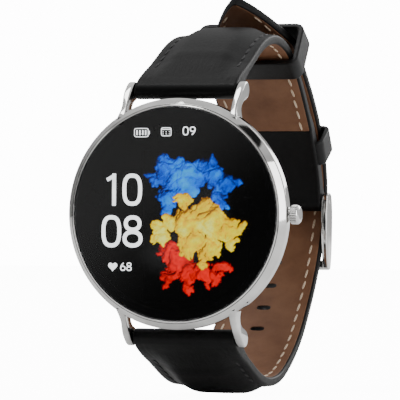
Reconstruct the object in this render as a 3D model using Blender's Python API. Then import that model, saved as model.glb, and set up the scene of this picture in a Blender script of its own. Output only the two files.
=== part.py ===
"""Round smartwatch on a buckled two-piece leather strap, as separate named pieces.

Frame: +X towards the crown, +Z towards twelve o'clock, +Y from the display towards the wrist.
The origin is the centre of the flat window face on the case back. Sizes below are millimetres,
and depth is measured backwards from the front of the cover glass.
"""

import math

import bmesh
import bpy
import numpy as np

MM = 0.001

# case
THICKNESS = 9.4
CASE_RADIUS = 21.0
RING_INNER = CASE_RADIUS - 1.5
GLASS_RADIUS = RING_INNER - 0.08
BORE_RADIUS = CASE_RADIUS - 2.6
DISPLAY_RADIUS = CASE_RADIUS - 3.3
BACK_RADIUS = CASE_RADIUS - 3.35
BACK_SEAT = THICKNESS - 2.65
SCREW_CIRCLE = CASE_RADIUS - 4.95
SCREW_SHANK = 0.42
SCREW_HEAD = 0.85
CONTACT_X = 2.6
CONTACT_Z = 7.7 - CASE_RADIUS
WINDOW_RADIUS = 8.25
CASE_STEPS = 72

# lugs and spring bars
LUG_GAP = 20.0
LUG_WIDTH = 1.35
LUG_ROOT = math.sqrt(BORE_RADIUS**2 - (LUG_GAP / 2) ** 2) + 0.26
LUG_DRAWN_REACH = 6.9
BAR_DEPTH = 6.75
BAR_HEIGHT = CASE_RADIUS + 1.6
BAR_RADIUS = 0.75
BAR_TIP_RADIUS = 0.4
BAR_TIP_END = LUG_GAP / 2 + 0.95
BAR_BORE = 0.5

# crown
CROWN_DEPTH = 2.75
CROWN_RADIUS = 1.75
CROWN_START = CASE_RADIUS + 0.42
CROWN_END = CASE_RADIUS + 2.1
CROWN_TEETH = 20
STEM_RADIUS = 0.5
TUBE_RADIUS = 1.3
TUBE_BORE = 0.95

# strap
STRAP_HALF_AT_LUG = LUG_GAP / 2 - 0.15
STRAP_HALF_AT_BUCKLE = LUG_GAP / 2 - 1.3
STRAP_HALF_TAIL = LUG_GAP / 2 - 1.6
END_HALF_THICKNESS = 1.65
END_THICKNESS = 2 * END_HALF_THICKNESS
LINING = 0.6
SKIN = 0.85
EDGE = 1.7
CROWN_PAD = 1.6
TAIL_EDGE = 1.75
TIP_LENGTH = 13.5
SLOT_PITCH = 5.5
SLOT_WIDTH = 2.8
SLOT_LENGTH = 1.1
USED_SLOT_LENGTH = 3.6
USED_SLOT_HEIGHT = -4.45
FOLD_LENGTH = 17.0

# buckle and keepers
ARM_IN = LUG_GAP / 2 - 1.0
ARM_OUT = LUG_GAP / 2 + 0.2
PIN_RADIUS = 0.7
PIN_TIP_RADIUS = 0.4
PIN_CLEARANCE = 0.12
FRONT_BAR_RADIUS = 0.95
FRONT_BAR_HEIGHT = -8.3
KEEPER_LENGTH = 5.0
KEEPER_WALL = 1.0
FIXED_KEEPER_WALL = 0.8
KEEPER_HALF = LUG_GAP / 2 - 0.7
FREE_KEEPER_HALF = LUG_GAP / 2 - 0.4
FIXED_KEEPER_FROM_END = 11.2
FIXED_KEEPER_ROOM = 0.285
FREE_KEEPER_ROOM = 0.58
FREE_KEEPER_HEIGHT = 28.4

# The loops are drawn for this bar height, and grow with the case.
DRAWN_BAR_HEIGHT = 22.6
LOOP_GROWTH = BAR_HEIGHT / DRAWN_BAR_HEIGHT

# inner profiles of the closed strap loop as (depth, height)
LOOP_12 = [
    (12.3, 25.1), (15.8, 27.1), (19.6, 29.1), (23.7, 30.8), (27.8, 31.7), (31.5, 31.8), (35.2, 31.1),
    (38.8, 29.6), (42.2, 27.3), (45.8, 24.0), (49.4, 20.1), (52.5, 16.4), (55.4, 12.2), (57.7, 8.2),
    (58.9, 4.9), (59.2, 2.4), (59.2, 0.7),
]
LOOP_6 = [
    (12.2, -24.9), (16.4, -27.0), (21.3, -29.0), (25.6, -30.1), (29.6, -30.3), (34.2, -29.6),
    (39.2, -27.5), (45.9, -23.2), (51.4, -17.7), (55.4, -12.9), (58.2, -8.8), (60.2, -5.0), (61.8, -1.4),
    (62.8, 2.2), (63.0, 5.8), (62.2, 9.6), (60.5, 13.5), (58.3, 17.2), (55.7, 20.6), (52.7, 23.8),
    (49.3, 27.1), (45.7, 30.5), (41.9, 33.5), (37.6, 36.5), (32.4, 39.6),
]

COLOURS = {
    "steel": ((0.62, 0.62, 0.63), 1.0, 0.22),
    "polished": ((0.75, 0.75, 0.76), 1.0, 0.1),
    "glass": ((0.01, 0.01, 0.012), 0.0, 0.05),
    "black": ((0.02, 0.02, 0.02), 0.0, 0.5),
    "leather": ((0.015, 0.015, 0.015), 0.0, 0.45),
    "lining": ((0.16, 0.08, 0.05), 0.0, 0.6),
    "foam": ((0.5, 0.48, 0.42), 0.0, 0.9),
    "board": ((0.02, 0.12, 0.05), 0.0, 0.5),
    "battery": ((0.3, 0.32, 0.34), 0.0, 0.4),
    "gold": ((0.8, 0.6, 0.25), 1.0, 0.25),
    "rubber": ((0.05, 0.05, 0.05), 0.0, 0.8),
}


def clear_scene():
    """Removes whatever the startup scene holds."""
    for obj in list(bpy.data.objects):
        bpy.data.objects.remove(obj, do_unlink=True)


def finish_material(name, kind):
    """A plain Principled material of its own for one piece."""
    colour, metallic, roughness = COLOURS[kind]
    material = bpy.data.materials.new(name + "_" + kind)
    material.use_nodes = True
    shader = material.node_tree.nodes["Principled BSDF"]
    shader.inputs["Base Color"].default_value = (*colour, 1.0)
    shader.inputs["Metallic"].default_value = metallic
    shader.inputs["Roughness"].default_value = roughness
    material.diffuse_color = (*colour, 1.0)
    return material


def add_piece(name, points, faces, kind, hidden=False):
    """One mesh object from points in millimetres, with its normals facing out."""
    mesh = bpy.data.meshes.new(name)
    mesh.from_pydata([tuple(v * MM for v in p) for p in points], [], faces)
    built = bmesh.new()
    built.from_mesh(mesh)
    bmesh.ops.recalc_face_normals(built, faces=built.faces)
    built.to_mesh(mesh)
    built.free()
    obj = bpy.data.objects.new(name, mesh)
    bpy.context.scene.collection.objects.link(obj)
    if hidden:
        obj.hide_render = True
        obj.display_type = "WIRE"
    else:
        mesh.materials.append(finish_material(name, kind))
    return obj


def merged(parts):
    """Several (points, faces) lists joined into one."""
    points, faces = [], []
    for more_points, more_faces in parts:
        start = len(points)
        points += list(more_points)
        faces += [tuple(i + start for i in face) for face in more_faces]
    return points, faces


def turned(profile, steps, place, phase=0.0):
    """A closed (radius, along) profile revolved about an axis. place maps (across, up, along) to a point."""
    points, rows = [], []
    for radius, along in profile:
        if radius < 1e-6:
            rows.append([len(points)])
            points.append(place(0.0, 0.0, along))
            continue
        row = []
        for k in range(steps):
            angle = phase + 2.0 * math.pi * k / steps
            row.append(len(points))
            points.append(place(radius * math.cos(angle), radius * math.sin(angle), along))
        rows.append(row)
    on_axis = len(rows[0]) == 1
    pairs = list(zip(rows, rows[1:])) + ([] if on_axis else [(rows[-1], rows[0])])
    faces = []
    for one, two in pairs:
        for k in range(steps):
            n = (k + 1) % steps
            if len(one) == 1:
                faces.append((one[0], two[k], two[n]))
            elif len(two) == 1:
                faces.append((one[k], two[0], one[n]))
            else:
                faces.append((one[k], two[k], two[n], one[n]))
    return points, faces


def about_y(x=0.0, z=0.0):
    """Places a revolved profile on an axis along Y, its along value being a depth."""
    return lambda across, up, along: (x + across, along - THICKNESS, z + up)


def about_x(depth, height):
    """Places a revolved profile on an axis along X at the given depth and height."""
    return lambda across, up, along: (along, depth + across - THICKNESS, height + up)


def cylinder_y(radius, start, end, x=0.0, z=0.0, steps=24):
    """A plain cylinder between two depths."""
    profile = [(0.0, start), (radius, start), (radius, end), (0.0, end)]
    return turned(profile, steps, about_y(x, z))


def cylinder_x(radius, start, end, depth, height, steps=24):
    """A plain cylinder along X."""
    profile = [(0.0, start), (radius, start), (radius, end), (0.0, end)]
    return turned(profile, steps, about_x(depth, height))


def block(x0, x1, d0, d1, z0, z1):
    """A box between two X values, two depths and two heights."""
    points = [(x, d - THICKNESS, z) for x in (x0, x1) for d in (d0, d1) for z in (z0, z1)]
    faces = [(0, 1, 3, 2), (4, 6, 7, 5), (0, 4, 5, 1), (2, 3, 7, 6), (0, 2, 6, 4), (1, 5, 7, 3)]
    return points, faces


def extruded(outline, place, low, high, bevel=0.0):
    """A 2D outline carried from low to high, with a small chamfer at both ends."""
    outline = np.array(outline, float)
    middle = outline.mean(axis=0)
    count = len(outline)
    levels = [(low, bevel), (low + bevel, 0.0), (high - bevel, 0.0), (high, bevel)] if bevel else [(low, 0), (high, 0)]
    before = np.roll(outline, 1, axis=0)
    after = np.roll(outline, -1, axis=0)
    tangent = after - before
    tangent /= np.linalg.norm(tangent, axis=1)[:, None]
    inward = np.stack([-tangent[:, 1], tangent[:, 0]], axis=1)
    if ((middle - outline) * inward).sum() < 0:
        inward = -inward
    points = []
    for level, inset in levels:
        points += [place(a, b, level) for a, b in outline + inward * inset]
    faces = [tuple(range(count)), tuple(range(count * (len(levels) - 1), count * len(levels)))]
    for row in range(len(levels) - 1):
        for k in range(count):
            n = (k + 1) % count
            faces.append((row * count + k, row * count + n, (row + 1) * count + n, (row + 1) * count + k))
    return points, faces


def side_plane(a, b, level):
    """Outlines drawn as (depth, height) and carried along X."""
    return (level, a - THICKNESS, b)


def front_plane(a, b, level):
    """Outlines drawn as (x, height) and carried along the depth."""
    return (a, level - THICKNESS, b)


def smooth_outline(points, per_side=3):
    """A closed Catmull-Rom curve through the points."""
    points = np.array(points, float)
    out = []
    for k in range(len(points)):
        p0, p1, p2, p3 = (points[(k + i - 1) % len(points)] for i in range(4))
        for step in range(per_side):
            t = step / per_side
            out.append(
                0.5 * (2 * p1 + (p2 - p0) * t + (2 * p0 - 5 * p1 + 4 * p2 - p3) * t**2
                       + (3 * p1 - p0 - 3 * p2 + p3) * t**3)
            )
    return out


def boolean(obj, parts, operation, label):
    """Joins or cuts obj with a hidden tool made of the given shapes."""
    tool = add_piece(obj.name + "_" + label, *merged(parts), "steel", hidden=True)
    modifier = obj.modifiers.new(label, "BOOLEAN")
    modifier.operation = operation
    modifier.solver = "EXACT"
    modifier.object = tool
    return tool


class Path:
    """A natural cubic spline through (depth, height) points, read by its length."""

    def __init__(self, points, side):
        """Solves the spline's bends. side is 1 or -1 and turns its outward side."""
        self.side = side
        points = np.array(points, float)
        knots = np.concatenate([[0.0], np.cumsum(np.linalg.norm(np.diff(points, axis=0), axis=1))])
        gaps = np.diff(knots)
        count = len(points)
        system = np.eye(count)
        right = np.zeros((count, 2))
        for k in range(1, count - 1):
            system[k, k - 1 : k + 2] = gaps[k - 1], 2 * (gaps[k - 1] + gaps[k]), gaps[k]
            right[k] = 6 * ((points[k + 1] - points[k]) / gaps[k] - (points[k] - points[k - 1]) / gaps[k - 1])
        bend = np.linalg.solve(system, right)
        rows = []
        for k in range(count - 1):
            for u in np.linspace(0, gaps[k], 24, endpoint=k == count - 2):
                a, b = gaps[k] - u, u
                rows.append(
                    (bend[k] * a**3 + bend[k + 1] * b**3) / (6 * gaps[k])
                    + (points[k] / gaps[k] - bend[k] * gaps[k] / 6) * a
                    + (points[k + 1] / gaps[k] - bend[k + 1] * gaps[k] / 6) * b
                )
        self.rows = np.array(rows)
        steps = np.linalg.norm(np.diff(self.rows, axis=0), axis=1)
        self.lengths = np.concatenate([[0.0], np.cumsum(steps)])
        self.length = float(self.lengths[-1])

    def point(self, s):
        """The (depth, height) at this length."""
        return np.array([np.interp(s, self.lengths, self.rows[:, i]) for i in (0, 1)])

    def tangent(self, s):
        """The unit direction of travel at this length."""
        step = self.point(min(s + 0.4, self.length)) - self.point(max(s - 0.4, 0.0))
        return step / np.linalg.norm(step)

    def outward(self, s):
        """The unit normal away from the wrist at this length."""
        along = self.tangent(s)
        return self.side * np.array([-along[1], along[0]])

    def at(self, s, rise=0.0):
        """The point raised outwards from the path at this length."""
        return self.point(s) + rise * self.outward(s)

    def where_height(self, height, after=0.0):
        """The first length past after where the path crosses this height."""
        for one, two, length in zip(self.rows, self.rows[1:], self.lengths):
            if length >= after and (one[1] - height) * (two[1] - height) <= 0:
                return float(length)
        raise ValueError(height)


def strap_path(points, side):
    """The inner profile of one strap half. It starts straight, so that its end wraps the spring bar evenly."""
    along = np.array([0.79, 0.613 * side])
    along /= np.linalg.norm(along)
    out = side * np.array([-along[1], along[0]])
    bar = np.array([BAR_DEPTH, BAR_HEIGHT * side])
    start = [bar - END_HALF_THICKNESS * out + k * along for k in (-1.7, -0.6, 0.6, 1.9)]
    return Path(start + [np.array(p) * LOOP_GROWTH for p in points], side)


def nose(distance):
    """Half the thickness of a rounded strap end at this distance from its tip."""
    reach = min(distance, END_HALF_THICKNESS)
    return math.sqrt(END_HALF_THICKNESS**2 - (END_HALF_THICKNESS - reach) ** 2)


def blend(s, marks):
    """Linear interpolation in a list of (length, value)."""
    return float(np.interp(s, [m[0] for m in marks], [m[1] for m in marks]))


def sweep(path, stations, section):
    """Closed sections of equal size carried along a path. section(s) gives (x, rise) pairs."""
    points, rows = [], []
    for s in stations:
        centre, out = path.point(s), path.outward(s)
        row = []
        for x, rise in section(s):
            row.append(len(points))
            points.append((x, centre[0] + rise * out[0] - THICKNESS, centre[1] + rise * out[1]))
        rows.append(row)
    faces = [tuple(rows[0]), tuple(rows[-1])]
    for one, two in zip(rows, rows[1:]):
        for k in range(len(one)):
            n = (k + 1) % len(one)
            faces.append((one[k], one[n], two[n], two[k]))
    return points, faces


class StrapHalf:
    """Widths and thicknesses of one strap half along its length."""

    def __init__(self, path, tail):
        """Lists (length, value) marks for the half that carries the buckle, or for the tail."""
        self.path = path
        self.tail = tail
        end = path.length
        if tail:
            self.widths = [(0, STRAP_HALF_AT_LUG), (70, STRAP_HALF_AT_BUCKLE), (end, STRAP_HALF_TAIL)]
            self.edges = [(0, END_THICKNESS), (3.4, END_THICKNESS), (8, EDGE + 0.2), (14, EDGE), (46, TAIL_EDGE),
                          (end, TAIL_EDGE)]
            self.pads = [(0, 0), (4, 0), (8, 1.2), (13, CROWN_PAD), (34, CROWN_PAD), (46, 0), (end, 0)]
            self.floors = [(0, 0), (5.0, 0), (5.1, LINING + 0.1), (end, LINING + 0.1)]
            self.pad_span = (9.5, 41.0)
        else:
            self.widths = [(0, STRAP_HALF_AT_LUG), (end, STRAP_HALF_AT_BUCKLE)]
            self.edges = [(0, END_THICKNESS), (3.4, END_THICKNESS), (8, EDGE + 0.2), (14, EDGE), (end - 21, EDGE),
                          (end - 16.5, 2.4), (end - 4.5, 2.5), (end - 2.6, END_THICKNESS), (end, END_THICKNESS)]
            self.pads = [(0, 0), (4, 0), (8, 1.2), (13, CROWN_PAD), (end - 24, CROWN_PAD),
                         (end - 17, 0.2), (end - 14, 0), (end, 0)]
            self.floors = [(0, 0), (5.0, 0), (5.1, LINING + 0.1), (end - FOLD_LENGTH - 0.1, LINING + 0.1),
                           (end - FOLD_LENGTH, 0), (end, 0)]
            self.pad_span = (9.5, end - 22.0)

    def half(self, s):
        """Half the strap's width."""
        wide = blend(s, self.widths)
        if self.tail:
            left = self.path.length - s
            if left < TIP_LENGTH:
                wide *= max(left / TIP_LENGTH, 0.0) ** 0.72
        return wide

    def limits(self, s):
        """The lowest and highest rise at the strap's edge."""
        low, high = blend(s, self.floors), blend(s, self.edges)
        ends = [s] if self.tail else [s, self.path.length - s]
        for distance in ends:
            if distance < END_HALF_THICKNESS:
                low = END_HALF_THICKNESS - nose(distance)
                high = END_HALF_THICKNESS + nose(distance)
        return low, high

    def across(self, s):
        """Half of the section's X values with the share of the padding's rise at each."""
        wide = self.half(s)
        insets = [(0.0, 0.0), (0.3, 0.0), (2.0, 0.0), (3.0, 0.45), (4.2, 0.85), (6.2, 0.96)]
        room = wide / STRAP_HALF_TAIL if wide < STRAP_HALF_TAIL else 1.0
        return [(wide - inset * room, share) for inset, share in insets] + [(0.0, 1.0)]

    def skin(self, s):
        """The outer leather's section."""
        low, high = self.limits(s)
        pad = blend(s, self.pads)
        half = self.across(s)
        top = [(x, high + share * pad - (0.3 * min(1.0, high - low) if k == 0 else 0.0))
               for k, (x, share) in enumerate(half)]
        under = [(x, max(low, rise - SKIN) if pad > 0.3 and 1 < k else low) for k, (x, rise) in enumerate(top)]
        ring = top + [(-x, rise) for x, rise in reversed(top[:-1])]
        under = [(-x, rise) for x, rise in under] + list(reversed(under[:-1]))
        return ring + under

    def padding(self, s):
        """The soft core between the leather and the lining."""
        low, high = self.limits(s)
        pad = blend(s, self.pads)
        half = self.across(s)[3:]
        top = [(x, max(high + share * pad - SKIN - 0.1, low + 0.25)) for x, share in half]
        ring = top + [(-x, rise) for x, rise in reversed(top[:-1])]
        return ring + [(-half[0][0], low + 0.1), (half[0][0], low + 0.1)]

    def lining(self, s):
        """The inner leather's section."""
        wide = self.half(s) - 0.05
        return [(wide, 0.0), (wide, LINING), (0.0, LINING), (-wide, LINING), (-wide, 0.0), (0.0, 0.0)]


def round_bar_y(name, profile, kind, steps=CASE_STEPS, x=0.0, z=0.0):
    """A turned piece on an axis along Y."""
    return add_piece(name, *turned(profile, steps, about_y(x, z)), kind)


def round_bar_x(name, profile, kind, depth, height, steps=24):
    """A turned piece on an axis along X."""
    return add_piece(name, *turned(profile, steps, about_x(depth, height)), kind)


def lug_outline(side):
    """The side view of one lug, drawn as (depth, reach from its root) and stretched to end round the spring bar."""
    outline = [
        (1.75, 0.0), (1.6, 1.1), (1.15, 2.05), (1.85, 3.5), (3.1, 5.4), (4.6, 7.1), (6.0, 8.3), (7.2, 8.55),
        (8.2, 7.9), (8.5, 6.8), (8.1, 5.7), (7.1, 5.1), (6.0, 4.7), (5.1, 3.7), (4.6, 2.4), (4.3, 1.1),
        (4.0, 0.0),
    ]
    stretch = (BAR_HEIGHT - LUG_ROOT) / LUG_DRAWN_REACH
    return [(d, (LUG_ROOT + reach * stretch) * side) for d, reach in smooth_outline(outline, 2)]


def build_case():
    """The steel case with its lugs, bezel ring, case back, window, gaskets, contacts and screws."""
    seat, rim, out = BACK_SEAT, BACK_SEAT + 0.85, CASE_RADIUS
    wall = [
        (out - 1.08, 0.14), (out - 0.02, 1.32), (out, 1.45), (out, 3.3), (out - 0.15, 3.6), (out - 1.8, rim - 0.5),
        (out - 2.3, rim), (BACK_RADIUS + 0.1, rim), (BACK_RADIUS + 0.1, seat), (BACK_RADIUS - 0.2, seat),
        (BACK_RADIUS - 0.2, seat - 0.4), (BACK_RADIUS - 0.7, seat - 0.4), (BACK_RADIUS - 0.7, seat),
        (BACK_RADIUS - 2.65, seat), (BACK_RADIUS - 2.65, seat - 0.8), (BORE_RADIUS, seat - 0.8), (BORE_RADIUS, 1.35),
        (RING_INNER + 0.3, 1.35), (RING_INNER + 0.3, 0.14),
    ]
    case = round_bar_y("case_body", wall, "steel")
    lugs = []
    for across in (-1, 1):
        for side in (-1, 1):
            ends = sorted((across * LUG_GAP / 2, across * (LUG_GAP / 2 + LUG_WIDTH)))
            lugs.append(extruded(lug_outline(side), side_plane, *ends, 0.22))
    boolean(case, lugs, "UNION", "lugs")
    holes = [cylinder_x(TUBE_RADIUS + 0.06, BORE_RADIUS - 0.9, CASE_RADIUS + 1.5, CROWN_DEPTH, 0.0)]
    for side in (-1, 1):
        for across in (-1, 1):
            ends = sorted((across * (LUG_GAP / 2 - 0.6), across * (LUG_GAP / 2 + 1.1)))
            holes.append(cylinder_x(BAR_TIP_RADIUS + 0.1, *ends, BAR_DEPTH, BAR_HEIGHT * side, 16))
    for x, z in screw_places():
        holes.append(cylinder_y(SCREW_SHANK + 0.08, BACK_SEAT - 1.25, BACK_SEAT + 0.45, x, z, 16))
    boolean(case, holes, "DIFFERENCE", "holes")

    ring = [
        (RING_INNER, 0.0), (RING_INNER + 0.06, 0.0), (RING_INNER + 0.22, 0.12), (RING_INNER + 0.24, 1.25),
        (RING_INNER, 1.25),
    ]
    round_bar_y("bezel_ring", ring, "polished")
    window_bore = WINDOW_RADIUS + 0.1
    back = [
        (BACK_RADIUS, THICKNESS - 2.5), (BACK_RADIUS, THICKNESS - 1.95), (BACK_RADIUS - 4.15, THICKNESS - 1.6),
        (window_bore + 2.05, THICKNESS - 0.7), (window_bore + 1.45, THICKNESS - 0.55), (window_bore, THICKNESS - 0.55),
        (window_bore, THICKNESS - 1.5), (window_bore + 1.05, THICKNESS - 1.6), (BACK_RADIUS - 5.05, THICKNESS - 2.5),
    ]
    plate = round_bar_y("case_back", back, "steel", 64)
    cuts = [cylinder_y(1.0, BACK_SEAT - 0.75, THICKNESS - 0.4, x, CONTACT_Z, 20) for x in (-CONTACT_X, CONTACT_X)]
    shank, head, shoulder = SCREW_SHANK + 0.08, SCREW_HEAD + 0.1, BACK_SEAT + 0.25
    sunk = [
        (0.0, shoulder - 0.8), (shank, shoulder - 0.8), (shank, shoulder), (head, shoulder), (head, shoulder + 1.5),
        (0.0, shoulder + 1.5),
    ]
    cuts += [turned(sunk, 20, about_y(x, z)) for x, z in screw_places()]
    boolean(plate, cuts, "DIFFERENCE", "holes")
    inner, outer, low, high = BACK_RADIUS - 0.65, BACK_RADIUS - 0.25, BACK_SEAT - 0.33, BACK_SEAT + 0.09
    round_bar_y("case_back_gasket", [(inner, low), (outer, low), (outer, high), (inner, high)], "rubber", 48)
    window = [
        (0.0, THICKNESS - 1.4), (WINDOW_RADIUS, THICKNESS - 1.4), (WINDOW_RADIUS, THICKNESS - 0.55),
        (WINDOW_RADIUS - 0.45, THICKNESS - 0.2), (WINDOW_RADIUS - 1.35, THICKNESS), (0.0, THICKNESS),
    ]
    round_bar_y("sensor_window", window, "glass", 48)
    for label, x in (("left", -CONTACT_X), ("right", CONTACT_X)):
        flange, top = BACK_SEAT + 0.07, THICKNESS - 1.55
        contact = [(0.0, flange - 0.22), (1.3, flange - 0.22), (1.3, flange), (0.92, flange), (0.92, top - 0.1), (0.8, top), (0.0, top)]
        round_bar_y("charging_contact_" + label, contact, "gold", 20, x, CONTACT_Z)
    for number, (x, z) in enumerate(screw_places(), 1):
        under, top = BACK_SEAT + 0.31, BACK_SEAT + 0.67
        screw = [(0.0, under - 1.06), (SCREW_SHANK, under - 1.06), (SCREW_SHANK, under), (SCREW_HEAD, under), (SCREW_HEAD, top), (0.0, top)]
        obj = round_bar_y(f"case_back_screw_{number}", screw, "steel", 18, x, z)
        boolean(obj, [block(x - 0.6, x + 0.6, top - 0.17, top + 0.2, z - 0.1, z + 0.1)], "DIFFERENCE", "slot_a")
        boolean(obj, [block(x - 0.1, x + 0.1, top - 0.17, top + 0.2, z - 0.6, z + 0.6)], "DIFFERENCE", "slot_b")


def screw_places():
    """The four case-back screws on their circle."""
    angles = [math.radians(a) for a in (45, 135, 225, 315)]
    return [(SCREW_CIRCLE * math.cos(a), SCREW_CIRCLE * math.sin(a)) for a in angles]


def build_inside():
    """The glass, the display and the electronics."""
    glass = [(0.0, 0.0), (GLASS_RADIUS - 0.12, 0.0), (GLASS_RADIUS, 0.12), (GLASS_RADIUS, 1.1), (0.0, 1.1)]
    round_bar_y("cover_glass", glass, "glass")
    inner, outer = BORE_RADIUS + 0.1, RING_INNER - 0.2
    round_bar_y("glass_gasket", [(inner, 1.16), (outer, 1.16), (outer, 1.29), (inner, 1.29)], "rubber", 48)
    round_bar_y("display_panel", [(0.0, 1.2), (DISPLAY_RADIUS, 1.2), (DISPLAY_RADIUS, 2.0), (0.0, 2.0)], "black", 48)

    outer, inner = BORE_RADIUS - 0.3, BORE_RADIUS - 1.1
    tray = [(0.0, 2.15), (outer, 2.15), (outer, 5.8), (inner, 5.8), (inner, 2.6), (0.0, 2.6)]
    frame = round_bar_y("inner_frame", tray, "black", 48)
    boolean(frame, [block(13.6, BORE_RADIUS + 1.1, 1.0, 7.0, -2.6, 2.6)], "DIFFERENCE", "crown_notch")
    turns = np.linspace(-math.pi * 0.96, -math.pi * 0.04, 21)
    board = [((BORE_RADIUS - 2.0) * math.cos(a), (BORE_RADIUS - 2.0) * math.sin(a)) for a in turns]
    add_piece("main_board", *extruded(board, front_plane, 2.75, 3.45), "board")
    add_piece("processor_shield", *block(-8.5, 2.0, 3.6, 5.0, -12.5, -3.5), "steel")
    add_piece("battery", *block(-10.5, 9.5, 2.8, 5.7, -1.2, 11.8), "battery")
    motor = [(0.0, 3.55), (4.0, 3.55), (4.0, 5.7), (0.0, 5.7)]
    round_bar_y("vibration_motor", motor, "steel", 28, 8.0, -8.5)
    add_piece("sensor_board", *cylinder_y(8.4, THICKNESS - 2.45, THICKNESS - 1.8, steps=36), "board")


def build_crown():
    """The rotary push crown with its tube, stem, seal, clip and switch."""
    wall = CASE_RADIUS
    tube = [
        (TUBE_BORE, wall - 2.4), (TUBE_RADIUS, wall - 2.4), (TUBE_RADIUS, wall - 0.1), (TUBE_BORE + 0.1, wall + 0.05),
        (TUBE_BORE + 0.1, wall + 0.3), (TUBE_BORE, wall + 0.3),
    ]
    round_bar_x("crown_tube", tube, "steel", CROWN_DEPTH, 0.0)
    stem = [
        (0.0, wall - 4.15), (STEM_RADIUS, wall - 4.15), (STEM_RADIUS, wall - 3.25), (0.34, wall - 3.25),
        (0.34, wall - 2.9), (STEM_RADIUS, wall - 2.9), (STEM_RADIUS, wall + 1.2), (0.0, wall + 1.2),
    ]
    round_bar_x("crown_stem", stem, "steel", CROWN_DEPTH, 0.0, 20)
    points, faces = [], []
    rows = [
        (CROWN_START, CROWN_RADIUS - 0.13, 0), (CROWN_START + 0.12, CROWN_RADIUS, 1), (CROWN_END - 0.42, CROWN_RADIUS, 1),
        (CROWN_END - 0.3, CROWN_RADIUS - 0.09, 0), (CROWN_END, CROWN_RADIUS - 0.45, 0),
    ]
    steps = CROWN_TEETH * 4
    for along, radius, toothed in rows:
        for k in range(steps):
            dip = 0.12 if toothed and k % 4 in (2, 3) else 0.0
            angle = 2 * math.pi * k / steps
            points.append((along, CROWN_DEPTH + (radius - dip) * math.cos(angle) - THICKNESS, (radius - dip) * math.sin(angle)))
    for row in range(len(rows) - 1):
        for k in range(steps):
            n = (k + 1) % steps
            faces.append((row * steps + k, row * steps + n, (row + 1) * steps + n, (row + 1) * steps + k))
    faces += [tuple(range(steps)), tuple(range((len(rows) - 1) * steps, len(rows) * steps))]
    cap = add_piece("crown_cap", points, faces, "polished")
    bore = [
        (0.0, wall - 0.5), (1.25, wall - 0.5), (1.25, wall + 0.8), (STEM_RADIUS + 0.08, wall + 0.8),
        (STEM_RADIUS + 0.08, wall + 1.3), (0.0, wall + 1.3),
    ]
    boolean(cap, [turned(bore, 20, about_x(CROWN_DEPTH, 0.0))], "DIFFERENCE", "bore")
    turns = np.linspace(0, 2 * math.pi, 8, endpoint=False)
    seal = [(0.72 + 0.17 * math.cos(a), wall - 1.2 + 0.17 * math.sin(a)) for a in turns]
    round_bar_x("crown_seal", seal, "rubber", CROWN_DEPTH, 0.0, 20)
    low, high = wall - 3.18, wall - 2.97
    clip = round_bar_x("crown_clip", [(0.39, low), (0.95, low), (0.95, high), (0.39, high)], "steel", CROWN_DEPTH, 0.0, 24)
    boolean(clip, [block(low - 0.3, high + 0.3, CROWN_DEPTH - 2.0, CROWN_DEPTH, -0.25, 0.25)], "DIFFERENCE", "mouth")
    switch = add_piece("button_switch", *block(wall - 6.7, wall - 4.9, 2.15, 4.6, -1.6, 1.6), "black")
    boolean(switch, [cylinder_x(0.7, wall - 5.1, wall - 4.5, CROWN_DEPTH + 0.2, 0.0)], "UNION", "dome")


def coil(start, end, radius, wire, turns, depth, height):
    """A helical wire along X."""
    per_turn, sides = 10, 6
    points, rows = [], []
    count = turns * per_turn
    for k in range(count + 1):
        angle = 2 * math.pi * k / per_turn
        along = start + (end - start) * k / count
        row = []
        for j in range(sides):
            turn = 2 * math.pi * j / sides
            out = radius + wire * math.cos(turn)
            row.append(len(points))
            points.append((along + wire * math.sin(turn), depth + out * math.cos(angle) - THICKNESS, height + out * math.sin(angle)))
        rows.append(row)
    faces = [tuple(rows[0]), tuple(rows[-1])]
    for one, two in zip(rows, rows[1:]):
        for j in range(sides):
            n = (j + 1) % sides
            faces.append((one[j], one[n], two[n], two[j]))
    return points, faces


def build_spring_bars():
    """A quick-release spring bar at each pair of lugs: tube with a fixed tip, sliding tip and coil."""
    for label, side in (("12", 1), ("6", -1)):
        height = BAR_HEIGHT * side
        end, mouth = BAR_TIP_END, BAR_TIP_END - 2.35
        tube = [
            (0.0, -end), (BAR_TIP_RADIUS, -end), (BAR_TIP_RADIUS, 1.35 - end), (BAR_RADIUS, 1.35 - end),
            (BAR_RADIUS, mouth), (BAR_BORE, mouth), (BAR_BORE, 3.0), (0.0, 3.0),
        ]
        round_bar_x(f"spring_bar_{label}_tube", tube, "steel", BAR_DEPTH, height, 18)
        tip = [
            (0.0, mouth - 1.4), (BAR_BORE - 0.08, mouth - 1.4), (BAR_BORE - 0.08, mouth - 0.6),
            (BAR_TIP_RADIUS - 0.04, mouth - 0.5), (BAR_TIP_RADIUS - 0.04, end - 1.29), (0.68, end - 1.29),
            (0.68, end - 1.04), (BAR_TIP_RADIUS, end - 1.04), (BAR_TIP_RADIUS, end), (0.0, end),
        ]
        round_bar_x(f"spring_bar_{label}_tip", tip, "steel", BAR_DEPTH, height, 18)
        add_piece(f"spring_bar_{label}_coil", *coil(3.15, mouth - 1.55, 0.32, 0.08, 8, BAR_DEPTH, height), "steel")


def straps():
    """Both strap halves' shapes."""
    return StrapHalf(strap_path(LOOP_12, 1), False), StrapHalf(strap_path(LOOP_6, -1), True)


def stations(marks, step):
    """Lengths that include every mark and leave no gap wider than step."""
    marks = sorted(set(marks))
    out = [marks[0]]
    for one, two in zip(marks, marks[1:]):
        count = max(1, math.ceil((two - one) / step))
        out += [one + (two - one) * k / count for k in range(1, count + 1)]
    return out


def buckle_pin_place(upper):
    """Depth and height of the buckle's hinge pin."""
    return upper.path.at(upper.path.length - 1.75, END_HALF_THICKNESS)


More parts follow.
